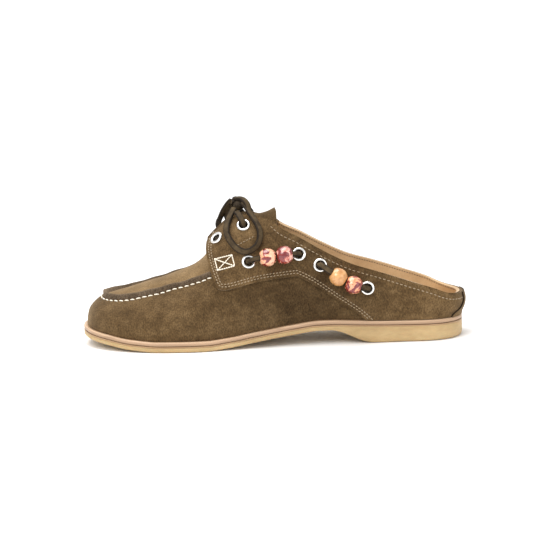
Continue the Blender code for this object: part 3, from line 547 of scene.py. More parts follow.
def flowing(points, step):
    # a smooth curve through points, at an even step
    points = np.array(points, dtype=float)
    route = np.concatenate([[2 * points[0] - points[1]], points, [2 * points[-1] - points[-2]]])
    fine = []
    for a, b, c, d in zip(route, route[1:], route[2:], route[3:]):
        bend, twist = 2 * a - 5 * b + 4 * c - d, 3 * b - a - 3 * c + d
        for t in np.linspace(0, 1, 16, endpoint=False):
            fine.append(0.5 * (2 * b + (c - a) * t + bend * t**2 + twist * t**3))
    fine = np.array(fine + [points[-1]])
    travel = travelOf(fine)
    return atTravel(np.linspace(0, travel[-1], max(3, round(travel[-1] / step) + 1)), travel, fine)


# outlines that cut the pieces: along and height from the side, or along and across from the top
backSeat = float(seatAt(0.0))
backTop = backSeat + last["backHeight"]
toplineAlong = np.concatenate([np.linspace(-0.08, 0.05, 30), np.linspace(0.055, 0.552, 130)])
toplineClimb = smoothCurve(toplineTable)(toplineAlong) * (last["frontTopHeight"] - backTop)
toplineEdge = np.stack([toplineAlong * length, backTop + toplineClimb], axis=1)
skyHeight, farBack = 2 * last["instepHeight"], -0.1 * length
outlineStep = 0.001
aboveTopline = [*toplineEdge, (toplineEdge[-1, 0], skyHeight), (toplineEdge[0, 0], skyHeight)]
saddleEdge = flowing([(a * length, b * last["instepHeight"]) for a, b in saddleTable], 0.0012)
saddleOutline = [*saddleEdge, (farBack, saddleEdge[-1, 1]), (farBack, saddleEdge[0, 1])]


def ridgeAcross(along):
    return float(skinMiddle(along, 1.0))


def band(reach, width, rounded):
    # a strip along the top, its front end round or square
    radius = width / 2 if rounded else 0.0
    start, centre = reach[0] * length, reach[1] * length - radius
    low = [(a, ridgeAcross(a) - width / 2) for a in np.linspace(start, centre, 14)]
    high = [(a, ridgeAcross(a) + width / 2) for a in np.linspace(centre, start, 14)]
    turns = np.linspace(-math.pi / 2, math.pi / 2, 24)[1:-1] if rounded else ()
    nose = [(centre + radius * math.cos(t), ridgeAcross(centre) + radius * math.sin(t)) for t in turns]
    return low + nose + high


throatOutline = band(flaps["throatReach"], flaps["throat"], True)
slotFront = saddleTable[-1][0] + flaps["slot"] / length
slotOutline = band((flaps["slotBack"], slotFront), flaps["slot"], False)
tongueOutline = band(tongueSet["reach"], tongueSet["width"], True)
tongueOutline.append((tongueSet["reach"][0] * length + tongueSet["notch"], tongueSet["notchAcross"]))
apronOutline = [(a * length, -b * sole["ballWidth"]) for a, b in apronTable]
apronOutline = apronOutline[:0:-1] + [(a, -b) for a, b in apronOutline]
apronLine = flowing([(a, b + float(middleAt(a))) for a, b in apronOutline], outlineStep)
stripEdge = [(b * sole["heelWidth"], backSeat + a * last["backHeight"]) for a, b in backStripTable]
stripEdge = flowing(stripEdge, outlineStep)
stripOutline = [*stripEdge, *(stripEdge[::-1] * (-1, 1))]

# eyelets: along and degrees up round the last
eyeletSet = {
    "places": {
        "a": (0.6350, 66.0), "b": (0.5680, 63.5), "c": (0.5580, 38.0),
        "d": (0.4270, 35.8), "e": (0.3740, 27.3), "f": (0.2530, 14.0),
    },
    "diameter": 0.0096,
    "bore": 0.0056,
    "height": 0.0010,
    "wall": 0.0006,
    "barrel": 0.0030,
    "reach": 0.012,
    "around": 40,
}
normalStep = {"along": 0.004 * length, "degrees": 3}
outOverSaddle = layers["gap"] + layers["overlay"]


def skinPoint(along, degrees, side, out):
    up = math.sin(math.radians(degrees)) ** (2 / float(fullness(along)))
    low = float(seatAt(along))
    height = low + (float(crownCurve(along)) - low) * up
    back = float(backCurve(height - backSeat))
    across = float(skinMiddle(along, up)) + side * float(skinReach(along, height, back))
    height += float(flapRise(along)) * float(liftShare(along, up, flaps["round"]))
    point = Vector((heelMiddle - along, across, height))
    return point + skinNormal(along, degrees, side) * out if out else point


def skinNormal(along, degrees, side):
    step, turn = normalStep["along"], normalStep["degrees"]
    toe = skinPoint(along + step, degrees, side, 0) - skinPoint(along - step, degrees, side, 0)
    upward = skinPoint(along, degrees + turn, side, 0) - skinPoint(along, degrees - turn, side, 0)
    normal = toe.cross(upward).normalized()
    return normal if normal.y * side > 0 else -normal


def eyeletPlace(letter):
    along, degrees = eyeletSet["places"][letter]
    return along * length, degrees


def eyeletFrame(letter, side):
    along, degrees = eyeletPlace(letter)
    turn = skinNormal(along, degrees, side).to_track_quat("Z", "X")
    return Matrix.LocRotScale(skinPoint(along, degrees, side, outOverSaddle), turn, None)


bothSides = ((outerSide, "outer"), (innerSide, "inner"))
eyeletFrames = {
    (letter, side): eyeletFrame(letter, side) for letter in eyeletSet["places"] for side, _ in bothSides
}


def outsideHoles(points, radius):
    value = np.full(points.shape[0], 1.0)
    for matrix in eyeletFrames.values():
        away, axis = points - np.array(matrix.translation), np.array(matrix.col[2][:3])
        deep = away @ axis
        radial = np.linalg.norm(away - deep[:, None] * axis, axis=1)
        near = np.abs(deep) < eyeletSet["reach"]
        value = np.where(near, np.minimum(value, radial - radius), value)
    return value


def keepUpper(points):
    along, across, height = fromHeel(points)
    over, throat = insideOutline(along, height, aboveTopline), insideOutline(along, across, throatOutline)
    return -np.maximum(over, throat)


def keepSaddle(points):
    along, across, height = fromHeel(points)
    cuts = (
        insideOutline(along, height, saddleOutline),
        -insideOutline(along, height, aboveTopline),
        -insideOutline(along, across, slotOutline),
        outsideHoles(points, 0.5 * eyeletSet["bore"] + eyeletSet["wall"]),
    )
    return np.minimum.reduce(cuts)


def keepTongue(points):
    along, across, _ = fromHeel(points)
    return insideOutline(along, across, tongueOutline)


def keepStrip(points):
    along, across, height = fromHeel(points)
    within, over = insideOutline(across, height, stripOutline), insideOutline(along, height, aboveTopline)
    return np.minimum(within, -over)


# materials
def newFinish(name, **values):
    made = bpy.data.materials.new(name)
    made.use_nodes = True
    shader = made.node_tree.nodes["Principled BSDF"]
    for key, value in values.items():
        shader.inputs[key.replace("_", " ")].default_value = value
    return made, made.node_tree, shader


def addNode(tree, kind, **values):
    made = tree.nodes.new("ShaderNode" + kind)
    for key, value in values.items():
        if key in made.inputs:
            made.inputs[key].default_value = value
        else:
            setattr(made, key, value)
    return made


def noiseOf(tree, scale, detail=4.0, rough=0.55, stretch=(1, 1, 1), shift=(0, 0, 0), swirl=0.0):
    where = addNode(tree, "TexCoord")
    mapping = addNode(tree, "Mapping", Scale=stretch, Location=shift)
    noise = addNode(tree, "TexNoise", Scale=scale, Detail=detail, Roughness=rough, Distortion=swirl)
    tree.links.new(where.outputs["Object"], mapping.inputs["Vector"])
    tree.links.new(mapping.outputs["Vector"], noise.inputs["Vector"])
    return noise.outputs["Fac"]


def ramp(tree, fac, stops):
    made = addNode(tree, "ValToRGB")
    points = made.color_ramp.elements
    while len(points) < len(stops):
        points.new(0.5)
    for point, (at, colour) in zip(points, stops):
        point.position = at
        point.color = (*colour, 1.0)
    tree.links.new(fac, made.inputs["Fac"])
    return made.outputs["Color"]


def mixColours(tree, fac, first, second, blend="MIX"):
    made = addNode(tree, "Mix", data_type="RGBA", blend_type=blend)
    for socket, value in ((made.inputs[0], fac), (made.inputs[6], first), (made.inputs[7], second)):
        if isinstance(value, bpy.types.NodeSocket):
            tree.links.new(value, socket)
        else:
            socket.default_value = value
    return made.outputs[2]


def attributeOf(tree, name):
    return addNode(tree, "Attribute", attribute_name=name).outputs["Fac"]


def finished(made, tree, shader, colour, bumps=()):
    # bumps: noise, strength, depth
    tree.links.new(colour, shader.inputs["Base Color"])
    previous = None
    for fac, strength, distance in bumps:
        bump = addNode(tree, "Bump", Strength=strength, Distance=distance)
        tree.links.new(fac, bump.inputs["Height"])
        if previous:
            tree.links.new(previous, bump.inputs["Normal"])
        previous = bump.outputs["Normal"]
    if previous:
        tree.links.new(previous, shader.inputs["Normal"])
    return made


def layeredFinish(name, noises, stops, wear=None, bumps=(), source=None, **values):
    # noises: scale, detail, roughness, stretch; stops colour the first one, or an attribute
    # wear: which noise tints the colour, how much, its stops; bumps: which noise, strength, depth
    made, tree, shader = newFinish(name, **values)
    facs = [noiseOf(tree, *row) for row in noises]
    colour = ramp(tree, attributeOf(tree, source) if source else facs[0], stops)
    if wear:
        which, amount, tints = wear
        colour = mixColours(tree, amount, colour, ramp(tree, facs[which], tints), "MULTIPLY")
    return finished(made, tree, shader, colour, [(facs[which], *rest) for which, *rest in bumps])


suedeSet = {
    "brown": ((0.056, 0.032, 0.013), (0.104, 0.063, 0.027), (0.190, 0.122, 0.058)),
    # the plug's lighter tones: partly its own colour, partly painted top light
    "plug": ((0.120, 0.074, 0.032), (0.190, 0.120, 0.055), (0.285, 0.190, 0.094)),
    "edge": ((0.07, 0.043, 0.021), (0.12, 0.077, 0.040), (0.17, 0.112, 0.062)),
    # nearly black: painted shadow along the back strip's cut edges
    "paintedEdgeShadow": ((0.014, 0.009, 0.005), (0.024, 0.015, 0.008), (0.04, 0.026, 0.013)),
    "ridge": ((0.052, 0.035, 0.022), (0.098, 0.070, 0.046), (0.160, 0.118, 0.080)),
    "nap": 1300.0,
    "blotch": 210.0,
    "cloud": 38.0,
    "sheen": (0.78, 0.62, 0.42, 1.0),
}


def suedeFinish(name, tones, plug=None):
    # dark, base and light tones in clouds and blotches under a nap; the plug's lighter tones are partly
    # painted top light; the shade attribute multiplies in painted shade
    made, tree, shader = newFinish(
        name, Roughness=0.94, Sheen_Weight=0.32, Sheen_Roughness=0.42, Sheen_Tint=suedeSet["sheen"],
        Specular_IOR_Level=0.12,
    )
    cloud = noiseOf(tree, suedeSet["cloud"], 3.0, 0.6)
    blotch = noiseOf(tree, suedeSet["blotch"], 3.0, 0.6, (0.6, 0.6, 1.0))
    nap = noiseOf(tree, suedeSet["nap"], 2.0, 0.7, (1.0, 1.0, 0.55))
    clouded = ramp(tree, cloud, list(zip((0.30, 0.50, 0.72), tones)))
    colour = mixColours(tree, 0.5, clouded, ramp(tree, blotch, list(zip((0.30, 0.52, 0.74), tones))))
    # the plug: lighter tones, partly painted top light
    if plug:
        clouded = ramp(tree, cloud, list(zip((0.30, 0.50, 0.72), plug)))
        bright = mixColours(tree, 0.45, clouded, ramp(tree, blotch, ((0.30, plug[0]), (0.74, plug[2]))))
        colour = mixColours(tree, attributeOf(tree, "plug"), colour, bright)
    speck = ramp(tree, nap, ((0.32, (0.45, 0.43, 0.41)), (0.68, (1.55, 1.52, 1.46))))
    colour = mixColours(tree, 0.8, colour, speck, "MULTIPLY")
    # painted shade: the colour multiplied by one minus the shade attribute
    darker = addNode(tree, "Math", operation="SUBTRACT")
    darker.inputs[0].default_value = 1.0
    tree.links.new(attributeOf(tree, "shade"), darker.inputs[1])
    colour = mixColours(tree, 1.0, colour, darker.outputs["Value"], "MULTIPLY")
    return finished(made, tree, shader, colour, ((blotch, 0.25, 0.0006), (nap, 0.55, 0.0003)))


def leatherFinish(name, dark, light, roughness, coat=0.0):
    return layeredFinish(
        name,
        ((45.0, 4.0, 0.6), (1100.0, 3.0, 0.6)),
        ((0.32, dark), (0.70, light)),
        (1, 0.6, ((0.30, (0.84, 0.82, 0.80)), (0.66, (1.10, 1.10, 1.10)))),
        ((1, 0.4, 0.00012), (0, 0.15, 0.0008)),
        Roughness=roughness, Coat_Weight=coat, Coat_Roughness=0.35,
    )


def laceFinish(name):
    # flat thong: lighter face, darker towards its rounded edges
    made, tree, shader = newFinish(name, Roughness=0.75, Specular_IOR_Level=0.18)
    cloud, grain = noiseOf(tree, 220.0, 4.0, 0.6), noiseOf(tree, 1600.0, 3.0, 0.6)
    face = ramp(tree, cloud, ((0.30, (0.036, 0.023, 0.011)), (0.70, (0.098, 0.066, 0.031))))
    edge = ramp(tree, cloud, ((0.30, (0.010, 0.0065, 0.0035)), (0.70, (0.028, 0.018, 0.010))))
    colour = mixColours(tree, attributeOf(tree, "edge"), face, edge)
    return finished(made, tree, shader, colour, ((grain, 0.4, 0.0002), (cloud, 0.2, 0.0004)))


def threadFinish(name, dark, light):
    stops, bumps = ((0.30, dark), (0.70, light)), ((0, 0.4, 0.0001),)
    return layeredFinish(name, ((2600.0, 2.0, 0.6),), stops, None, bumps, Roughness=0.6, Sheen_Weight=0.2)


def marbledFinish(name, seed, ground, cloud, cover):
    # lacquered bead: a pale ground with clouds, and burgundy patches over part of it
    made, tree, shader = newFinish(name, Roughness=0.22, Coat_Weight=0.7, Coat_Roughness=0.08)
    shift = (seed * 0.37, seed * 0.21, seed * 0.11)
    clouds = noiseOf(tree, 260.0, 3.0, 0.6, shift=shift, swirl=0.8)
    patches = noiseOf(tree, 190.0, 2.5, 0.55, shift=shift, swirl=0.7)
    edge = 0.5 + cover
    burgundy = (
        (edge - 0.10, (0.150, 0.010, 0.012)), (edge - 0.03, (0.230, 0.022, 0.018)),
        (edge, (0.440, 0.080, 0.045)),
    )
    share = ramp(tree, patches, ((edge - 0.01, (0, 0, 0)), (edge + 0.02, (1, 1, 1))))
    pale = ramp(tree, clouds, ((0.38, ground), (0.62, cloud)))
    return finished(made, tree, shader, mixColours(tree, share, ramp(tree, patches, burgundy), pale))


suede = suedeFinish("suede", suedeSet["brown"])
suedeUpper = suedeFinish("suedeUpper", suedeSet["brown"], suedeSet["plug"])
suedeEdge = suedeFinish("suedeEdge", suedeSet["edge"])
# the back strip's rim in painted shadow
paintedEdgeShadow = suedeFinish("paintedEdgeShadow", suedeSet["paintedEdgeShadow"])
suedeRidge = suedeFinish("suedeRidge", suedeSet["ridge"])
lining = leatherFinish("lining", (0.44, 0.285, 0.145), (0.60, 0.42, 0.235), 0.48, 0.08)
sock = leatherFinish("sock", (0.52, 0.32, 0.15), (0.66, 0.44, 0.23), 0.5)
creamThread = threadFinish("creamThread", (0.78, 0.68, 0.52), (0.96, 0.90, 0.78))
tanThread = threadFinish("tanThread", (0.17, 0.115, 0.060), (0.37, 0.27, 0.16))
brownThread = threadFinish("brownThread", (0.10, 0.058, 0.025), (0.19, 0.115, 0.052))
laceLeather = laceFinish("laceLeather")
silver = layeredFinish(
    "silver",
    ((900.0, 3.0, 0.6, (1.0, 1.0, 0.3)),),
    ((0.30, (0.78, 0.77, 0.74)), (0.70, (0.95, 0.94, 0.92))),
    bumps=((0, 0.12, 0.0001),),
    Metallic=1.0, Roughness=0.24,
)
crepe = layeredFinish(
    "crepe",
    ((30.0, 4.0, 0.6, (0.5, 0.5, 2.0)), (420.0, 5.0, 0.65, (0.5, 0.5, 1.4))),
    ((0.28, (0.36, 0.240, 0.105)), (0.52, (0.45, 0.310, 0.145)), (0.76, (0.53, 0.385, 0.195))),
    (1, 0.6, ((0.30, (0.80, 0.77, 0.72)), (0.66, (1.06, 1.06, 1.06)))),
    ((1, 0.45, 0.0005),),
    Roughness=0.55, Subsurface_Weight=0.12, Subsurface_Scale=0.003,
)
midsoleLeather = layeredFinish(
    "midsoleLeather",
    ((90.0, 5.0, 0.6, (0.35, 0.35, 5.0)), (900.0, 3.0, 0.6, (0.3, 0.3, 1.0))),
    # by height up the edge: the dark band round 0.29 lies in the groove as painted groove shade; lighter
    # towards the top edge
    (
        (0.00, (0.40, 0.255, 0.130)), (0.22, (0.36, 0.220, 0.115)), (0.29, (0.20, 0.120, 0.065)),
        (0.37, (0.30, 0.185, 0.105)), (0.60, (0.38, 0.245, 0.150)), (0.80, (0.44, 0.290, 0.180)),
        (1.00, (0.56, 0.390, 0.250)),
    ),
    (0, 0.7, ((0.30, (0.72, 0.66, 0.60)), (0.66, (1.08, 1.07, 1.05)))),
    ((0, 0.25, 0.0004), (1, 0.3, 0.00012)),
    "up",
    Roughness=0.5, Coat_Weight=0.12, Coat_Roughness=0.3,
)
beadWood = layeredFinish(
    "beadWood",
    ((240.0, 4.0, 0.6, (0.35, 1.0, 1.6)),),
    ((0.28, (0.38, 0.155, 0.048)), (0.50, (0.56, 0.275, 0.095)), (0.75, (0.66, 0.380, 0.155))),
    bumps=((0, 0.1, 0.0002),),
    Roughness=0.26, Coat_Weight=0.6, Coat_Roughness=0.1,
)
paper = layeredFinish(
    "paper", ((3.0,),), ((0.3, (0.93, 0.93, 0.93)), (0.7, (0.95, 0.95, 0.95))), Roughness=0.7
)
print("finishes made")


# sole
soleSet = {
    # inset and share of the way up
    "outsole": (
        (0.0018, 0.00), (0.0011, 0.02), (0.0005, 0.07), (0.00015, 0.16), (0.0, 0.30), (0.0, 0.60),
        (0.0, 0.93), (0.0002, 1.0),
    ),
    "midsole": (
        (0.0003, 0.00), (0.0, 0.05), (0.0, 0.20), (0.0003, 0.245), (0.0008, 0.285), (0.0008, 0.32),
        (0.0003, 0.36), (0.0, 0.41), (0.0, 0.78), (0.00015, 0.90), (0.0005, 0.97), (0.0009, 1.0),
    ),
    "insole": ((0.0053, 0.0), (0.0053, 0.62), (0.0056, 0.82), (0.0063, 0.96), (0.0075, 1.0)),
    "around": 384,
    "strips": 14,
}


def soleRing(inset, count, heightOf):
    turn = np.linspace(0, 2 * math.pi, count, endpoint=False)
    side = -np.sign(np.round(np.sin(turn), 9))
    along = 0.5 * length + (0.5 * length - inset) * np.cos(turn)
    width = np.maximum(halfWidth(along) - inset, 0.0)
    across = middleAt(along) + side * width * endRounding(along, inset, length - inset)
    return np.stack([heelMiddle - along, across, heightOf(along)], axis=1)


def solePiece(name, profile, low, high, finish):
    # both faces are closed by strips across
    count, strips = soleSet["around"], soleSet["strips"]
    rings = [
        soleRing(inset, count, lambda a, up=up: low(a) + up * (high(a) - low(a))) for inset, up in profile
    ]
    points, faces = [np.concatenate(rings)], tubeFaces(len(rings), count)
    total, half = len(points[0]), count // 2
    for ring in (rings[0], rings[-1]):
        left, right = ring[: half + 1], ring[(-np.arange(half + 1)) % count]
        share = np.linspace(0, 1, strips + 1)[:, None, None]
        points.append((left * (1 - share) + right * share).reshape(-1, 3))
        for i in range(strips):
            for j in range(half):
                a = total + i * (half + 1) + j
                faces.append((a, a + 1, a + half + 2, a + half + 1))
        total += len(points[-1])
    made = finishMesh(name, np.concatenate(points), faces, [finish])
    work = bmesh.new()
    work.from_mesh(made.data)
    bmesh.ops.remove_doubles(work, verts=work.verts, dist=2e-5)
    bmesh.ops.recalc_face_normals(work, faces=work.faces)
    work.to_mesh(made.data)
    work.free()
    made.data.set_sharp_from_angle(angle=math.radians(50))
    along, _, height = fromHeel(coordinates(made))
    addAttribute(made, "up", (height - low(along)) / (high(along) - low(along)))
    return made


def insoleTop(along):
    return seatAt(along) + layers["gap"] + sole["insole"]


dress(solePiece("crepeSole", soleSet["outsole"], treadAt, deckAt, crepe), "outsole")
midsole = solePiece("leatherMidsole", soleSet["midsole"], deckAt, seatAt, midsoleLeather)
dress(midsole, "midsole")
dress(solePiece("sock", soleSet["insole"], seatAt, insoleTop, sock), "insole")
print("sole made")

# upper, saddle, tongue and back strip: turns (start, end, count, closed), levels (low, high, count)
upper = cutSheet(
    "upperSuede",
    surface(),
    keepUpper,
    (0.0, 2 * math.pi, 420, True), (0.0, 1.0, 118),
    layers["wall"],
    [suedeUpper, lining, lining],
)
along, across, _ = fromHeel(coordinates(upper))
# mask of the plug, where its lighter tones go, partly painted top light
addAttribute(upper, "plug", blendStep(insideOutline(along, across, apronLine), -0.0008, 0.0008))
dress(upper, "upper")
print("upper made", len(upper.data.polygons))

saddle = cutSheet(
    "saddleSuede",
    surface(flapRise, flaps["round"], outOverSaddle),
    keepSaddle,
    (0.0, 2 * math.pi, 470, True), (0.0, 1.0, 150),
    layers["overlay"] + 0.8 * layers["gap"],
    [suede, lining, suedeEdge],
)
dress(saddle, "saddle")
print("saddle made", len(saddle.data.polygons))

tongue = cutSheet(
    "tongueSuede",
    surface(tongueRise, tongueSet["round"], -layers["wall"] - layers["gap"], False),
    keepTongue,
    (-1.9, 1.9, 200, False), (0.45, 1.0, 110),
    layers["tongue"],
    [suede, lining, suedeEdge],
)
dress(tongue, "tongue")

strip = cutSheet(
    "backStripSuede",
    surface(None, None, 2 * layers["gap"] + layers["overlay"] + layers["strip"]),
    keepStrip,
    (math.pi - 0.75, math.pi + 0.75, 90, False), (0.0, 0.6, 60),
    layers["strip"] + 0.8 * layers["gap"],
    # the back strip's rim in nearly black painted shadow
    [suede, suedeEdge, paintedEdgeShadow],
)
dress(strip, "back_strip")
print("strip and tongue made")

# painted shade: how much darker the suede is painted, most low over the waist, and painted lighter at the
# heel and the saddle's front; amount, middle and reach as shares of the length
shadeSet = {"all": 0.13, "waist": (0.30, 0.42, 0.18), "heel": 0.13, "flap": (0.14, 0.55, 0.09)}


def lobe(share, amount, middle, reach):
    return amount * np.exp(-(((share - middle) / reach) ** 2))


def addShade(piece):
    along, _, height = fromHeel(coordinates(piece))
    share = along / length
    # painted shade, strongest over the waist's lower side
    shade = shadeSet["all"] + lobe(share, *shadeSet["waist"]) * (1 - 0.5 * blendStep(height, 0.030, 0.060))
    # painted light: the heel painted lighter
    shade -= shadeSet["heel"] * blendStep(-share, -0.30, -0.10)
    # painted light: the saddle's front painted lighter
    if piece is saddle:
        shade -= lobe(share, *shadeSet["flap"])
    addAttribute(piece, "shade", np.clip(shade, 0, 1))


def treeOf(mesh):
    return BVHTree.FromPolygons([v.co for v in mesh.vertices], [tuple(p.vertices) for p in mesh.polygons])


for piece in (upper, saddle, tongue, strip):
    addShade(piece)
trees = {piece.name: treeOf(piece.data) for piece in (upper, saddle)}
farOff = 0.2


def hitsOn(name, rays):
    # where rays (origin, direction) meet a piece: place and normal
    found = []
    for origin, direction in rays:
        spot, normal, _, _ = trees[name].ray_cast(Vector(origin), Vector(direction))
        if spot is not None:
            found.append((spot, normal if normal.dot(Vector(direction)) < 0 else -normal))
    return found


def fromTop(name, line):
    return hitsOn(name, [((x, y, farOff), (0, 0, -1)) for x, y in line])


def fromSide(name, line, side):
    return hitsOn(name, [((heelMiddle - a, farOff * side, z), (0, -side, 0)) for a, z in line])


def fromInside(name, line, side):
    return hitsOn(name, [((heelMiddle - a, float(middleAt(a)), z), (0, side, 0)) for a, z in line])


def shiftLine(line, distance):
    tangent = unit(np.gradient(line, axis=0))
    return line + np.stack([-tangent[:, 1], tangent[:, 0]], axis=1) * distance


def pathArrays(path):
    return (np.array([tuple(row[i]) for row in path]) for i in (0, 1))


# apron seam: a standing lip round the plug, pinched a little at each stitch
seam = {
    "height": 0.0036,
    "base": 0.0034,
    "top": 0.0024,
    "fall": 0.22,
    "fallReach": (-0.92, -0.68),
    "pinch": 0.00025,
    "pitch": 0.0044,
    "stitchLine": 0.0030,
    "waves": ((0.00016, 410), (0.00012, 170), (0.00018, 240)),
    "endRings": 6,
    # across (share of half width), up (share of height)
    "profile": (
        (1.00, -0.10), (1.02, 0.16), (0.90, 0.36), (0.86, 0.62), (0.78, 0.84), (0.52, 0.97),
        (0.10, 1.00), (-0.40, 0.96), (-0.72, 0.80), (-0.82, 0.56), (-0.92, 0.28), (-1.00, -0.10),
    ),
}


def makeApronSeam():
    places, normals = pathArrays(fromTop("upperSuede", [(heelMiddle - a, b) for a, b in apronLine]))
    padded = np.pad(normals, ((4, 4), (0, 0)), mode="edge")
    normals = unit(np.stack([np.convolve(column, np.ones(9) / 9, "valid") for column in padded.T], axis=1))
    outward = np.cross(unit(np.gradient(places, axis=0)), normals)
    if np.sum(outward * (places - places.mean(axis=0))) < 0:
        outward = -outward
    travel = travelOf(places)
    rnd = random.Random(4)
    phases = [rnd.uniform(0, 6.28) for _ in range(3)]
    points = []
    for i, place in enumerate(places):
        low, high, sway = (
            size * math.sin(travel[i] * rate + phase)
            for (size, rate), phase in zip(seam["waves"], phases)
        )
        rear = float(blendStep(place[0] - heelMiddle, *(share * length for share in seam["fallReach"])))
        height = seam["height"] * (1 - seam["fall"] * rear) + low + high
        pinch = seam["pinch"] * math.cos(2 * math.pi * travel[i] / seam["pitch"])
        ends = min(1.0, (i + 1) / seam["endRings"], (len(places) - i) / seam["endRings"])
        for across, up in seam["profile"]:
            half = 0.5 * (seam["base"] + (seam["top"] - seam["base"]) * max(up, 0)) - pinch * (1 - up)
            lift = normals[i] * (up * height * (0.7 + 0.3 * ends))
            points.append(place + outward[i] * (across * half + sway * up) + lift)
    faces = tubeFaces(len(places), len(seam["profile"]), capped=True)
    made = tidyNormals(finishMesh("apronSeam", points, faces, [suedeRidge], sharp=60))
    dress(made, "apron_seam")
    return places + outward * seam["stitchLine"]


apronStitchLine = makeApronSeam()
print("apron seam made")


# stitches: short rounded threads sunk half way into what they hold
stitch = {
    # pitch, length, thickness, slant in degrees, how far proud
    "apron": (0.0044, 0.0034, 0.0010, -7, 0.35),
    "seam": (0.0023, 0.0016, 0.00075, 8, 0.2),
    "flap": (0.0023, 0.0016, 0.00075, 0, 0.2),
    "collar": (0.0031, 0.0020, 0.00070, 0, 0.2),
    "lining": (0.0019, 0.0013, 0.00070, 0, 0.2),
    "bar": (0.0016, 0.0016, 0.0009, 0, 0.35),
    "seamRows": (0.0021, 0.0038),
    "seamReach": (0.012, 0.080),
    "collarReach": (0.0, 0.497 * length),
    "collarRow": -0.0038,
    "liningRow": -0.0017,
    "around": 6,
    # share of the length, share of the thickness
    "profile": ((-0.5, 0.25), (-0.38, 0.78), (0.0, 1.0), (0.38, 0.78), (0.5, 0.25)),
    "look": 0.0006,
}


def spread(path, pitch):
    # centre, direction and upward normal of each stitch
    spots, normals = pathArrays(path)
    travel = travelOf(spots)
    centres = np.arange(0.5 * pitch, travel[-1], pitch)
    ahead, behind = (atTravel(centres + look, travel, spots) for look in (stitch["look"], -stitch["look"]))
    return zip(atTravel(centres, travel, spots), ahead - behind, atTravel(centres, travel, normals))


def makeStitches(name, paths, kind, finish):
    pitch, size, thick, slant, proud = stitch[kind]
    points, faces = [], []
    rnd = random.Random(len(name))
    for path in paths:
        for place, way, up in spread(path, pitch) if len(path) > 1 else ():
            way, up = Vector(way).normalized(), Vector(up).normalized()
            up = (up - way * up.dot(way)).normalized()
            way = Matrix.Rotation(math.radians(slant + rnd.uniform(-4, 4)), 3, up) @ way
            across = up.cross(way)
            long = size * rnd.uniform(0.92, 1.06)
            faces += tubeFaces(len(stitch["profile"]), stitch["around"], len(points), capped=True)
            for share, fat in stitch["profile"]:
                arch = proud * (1 - (2 * share) ** 2 * 0.9)
                middle = Vector(place) + way * (share * long) + up * (arch * thick)
                for k in range(stitch["around"]):
                    turn, radius = 2 * math.pi * k / stitch["around"], 0.5 * thick * fat
                    ring = across * (radius * math.cos(turn)) + up * (radius * math.sin(turn))
                    points.append(middle + ring)
    dress(finishMesh(name, points, faces, [finish], sharp=70))


def edgePaths(edge, distances, come=fromSide, name="saddleSuede"):
    return [come(name, shiftLine(edge, away), side) for side, _ in bothSides for away in distances]


def within(line, column, reach):
    return line[(line[:, column] > reach[0]) & (line[:, column] < reach[1])]


lowerEdge = within(saddleEdge, 1, stitch["seamReach"])
collarEdge = within(toplineEdge, 0, stitch["collarReach"])
insidePaths = edgePaths(collarEdge, [stitch["liningRow"]], fromInside, "upperSuede")
makeStitches(
    "apronStitches", [fromTop("upperSuede", apronStitchLine[:, :2])], "apron", creamThread
)
makeStitches("saddleStitches", edgePaths(lowerEdge, stitch["seamRows"]), "seam", tanThread)
makeStitches("collarStitches", edgePaths(collarEdge, [stitch["collarRow"]]), "collar", tanThread)
makeStitches("liningStitches", insidePaths, "lining", brownThread)

# plain box and cross that holds the flap's corner, and a short row under the top eyelet
boxTack = {"centre": (0.1655, 0.0590), "size": (0.0122, 0.0074), "tilt": -14.0}
shortRow = np.linspace((0.1570, 0.0700), (0.1440, 0.0760), 12)


def tackLines():
    tilt = math.radians(boxTack["tilt"])
    wide, tall = (0.5 * v for v in boxTack["size"])
    corners = [(-wide, -tall), (wide, -tall), (wide, tall), (-wide, tall)]
    pairs = ((0, 1), (1, 2), (2, 3), (3, 0), (0, 2), (1, 3))
    turn = np.array(((math.cos(tilt), math.sin(tilt)), (-math.sin(tilt), math.cos(tilt))))
    return [np.linspace(corners[i], corners[j], 12) @ turn + boxTack["centre"] for i, j in pairs]


def sidePaths(lines):
    return [fromSide("saddleSuede", line, side) for line in lines for side, _ in bothSides]


makeStitches("boxTack", sidePaths(tackLines()), "bar", creamThread)
makeStitches("flapStitches", sidePaths([shortRow]), "flap", tanThread)
print("stitches made")


# eyelets
def turnedMesh(name, profile, count, finish):
    points = []
    for i in range(count):
        turn = 2 * math.pi * i / count
        points += [(radius * math.cos(turn), radius * math.sin(turn), height) for radius, height in profile]
    faces = tubeFaces(count, len(profile), closed=True)
    return tidyNormals(finishMesh(name, points, faces, [finish], sharp=40))


def eyeletProfile():
    bore, rim = 0.5 * eyeletSet["bore"], 0.5 * eyeletSet["diameter"]
    foot, high = 0.5 * layers["gap"], eyeletSet["height"]
    crown = [
        (0.5 * (bore + rim) + 0.5 * (rim - bore) * math.cos(t), foot + high * math.sin(t) ** 0.8)
        for t in np.linspace(0, math.pi, 11)
    ]
    deep = -eyeletSet["barrel"]
    barrel = bore + 0.4 * eyeletSet["wall"]
    return [(bore, deep), (barrel, deep), (barrel, 0.0), (rim, 0.0)] + crown


sideNames = dict(bothSides)
for (letter, side), matrix in eyeletFrames.items():
    where = f"{sideNames[side]}_{letter}"
    ring = turnedMesh(f"eyeletRing_{where}", eyeletProfile(), eyeletSet["around"], silver)
    ring.matrix_world = matrix
    dress(ring, f"eyelet_{where}")
print("eyelets made")


# lace: a flat leather thong with rounded edges
lace = {"width": 0.0042, "thickness": 0.0022, "step": 0.0009, "cordDiameter": 0.0029, "barTurn": 77.5}
thongProfile = []
for corner, (sx, sy) in enumerate(((1, 1), (-1, 1), (-1, -1), (1, -1))):
    for turn in corner * math.pi / 2 + np.linspace(0, math.pi / 2, 4):
        thongProfile.append((0.58 * sx + 0.42 * math.cos(turn), 0.5 * sy + 0.5 * math.sin(turn)))


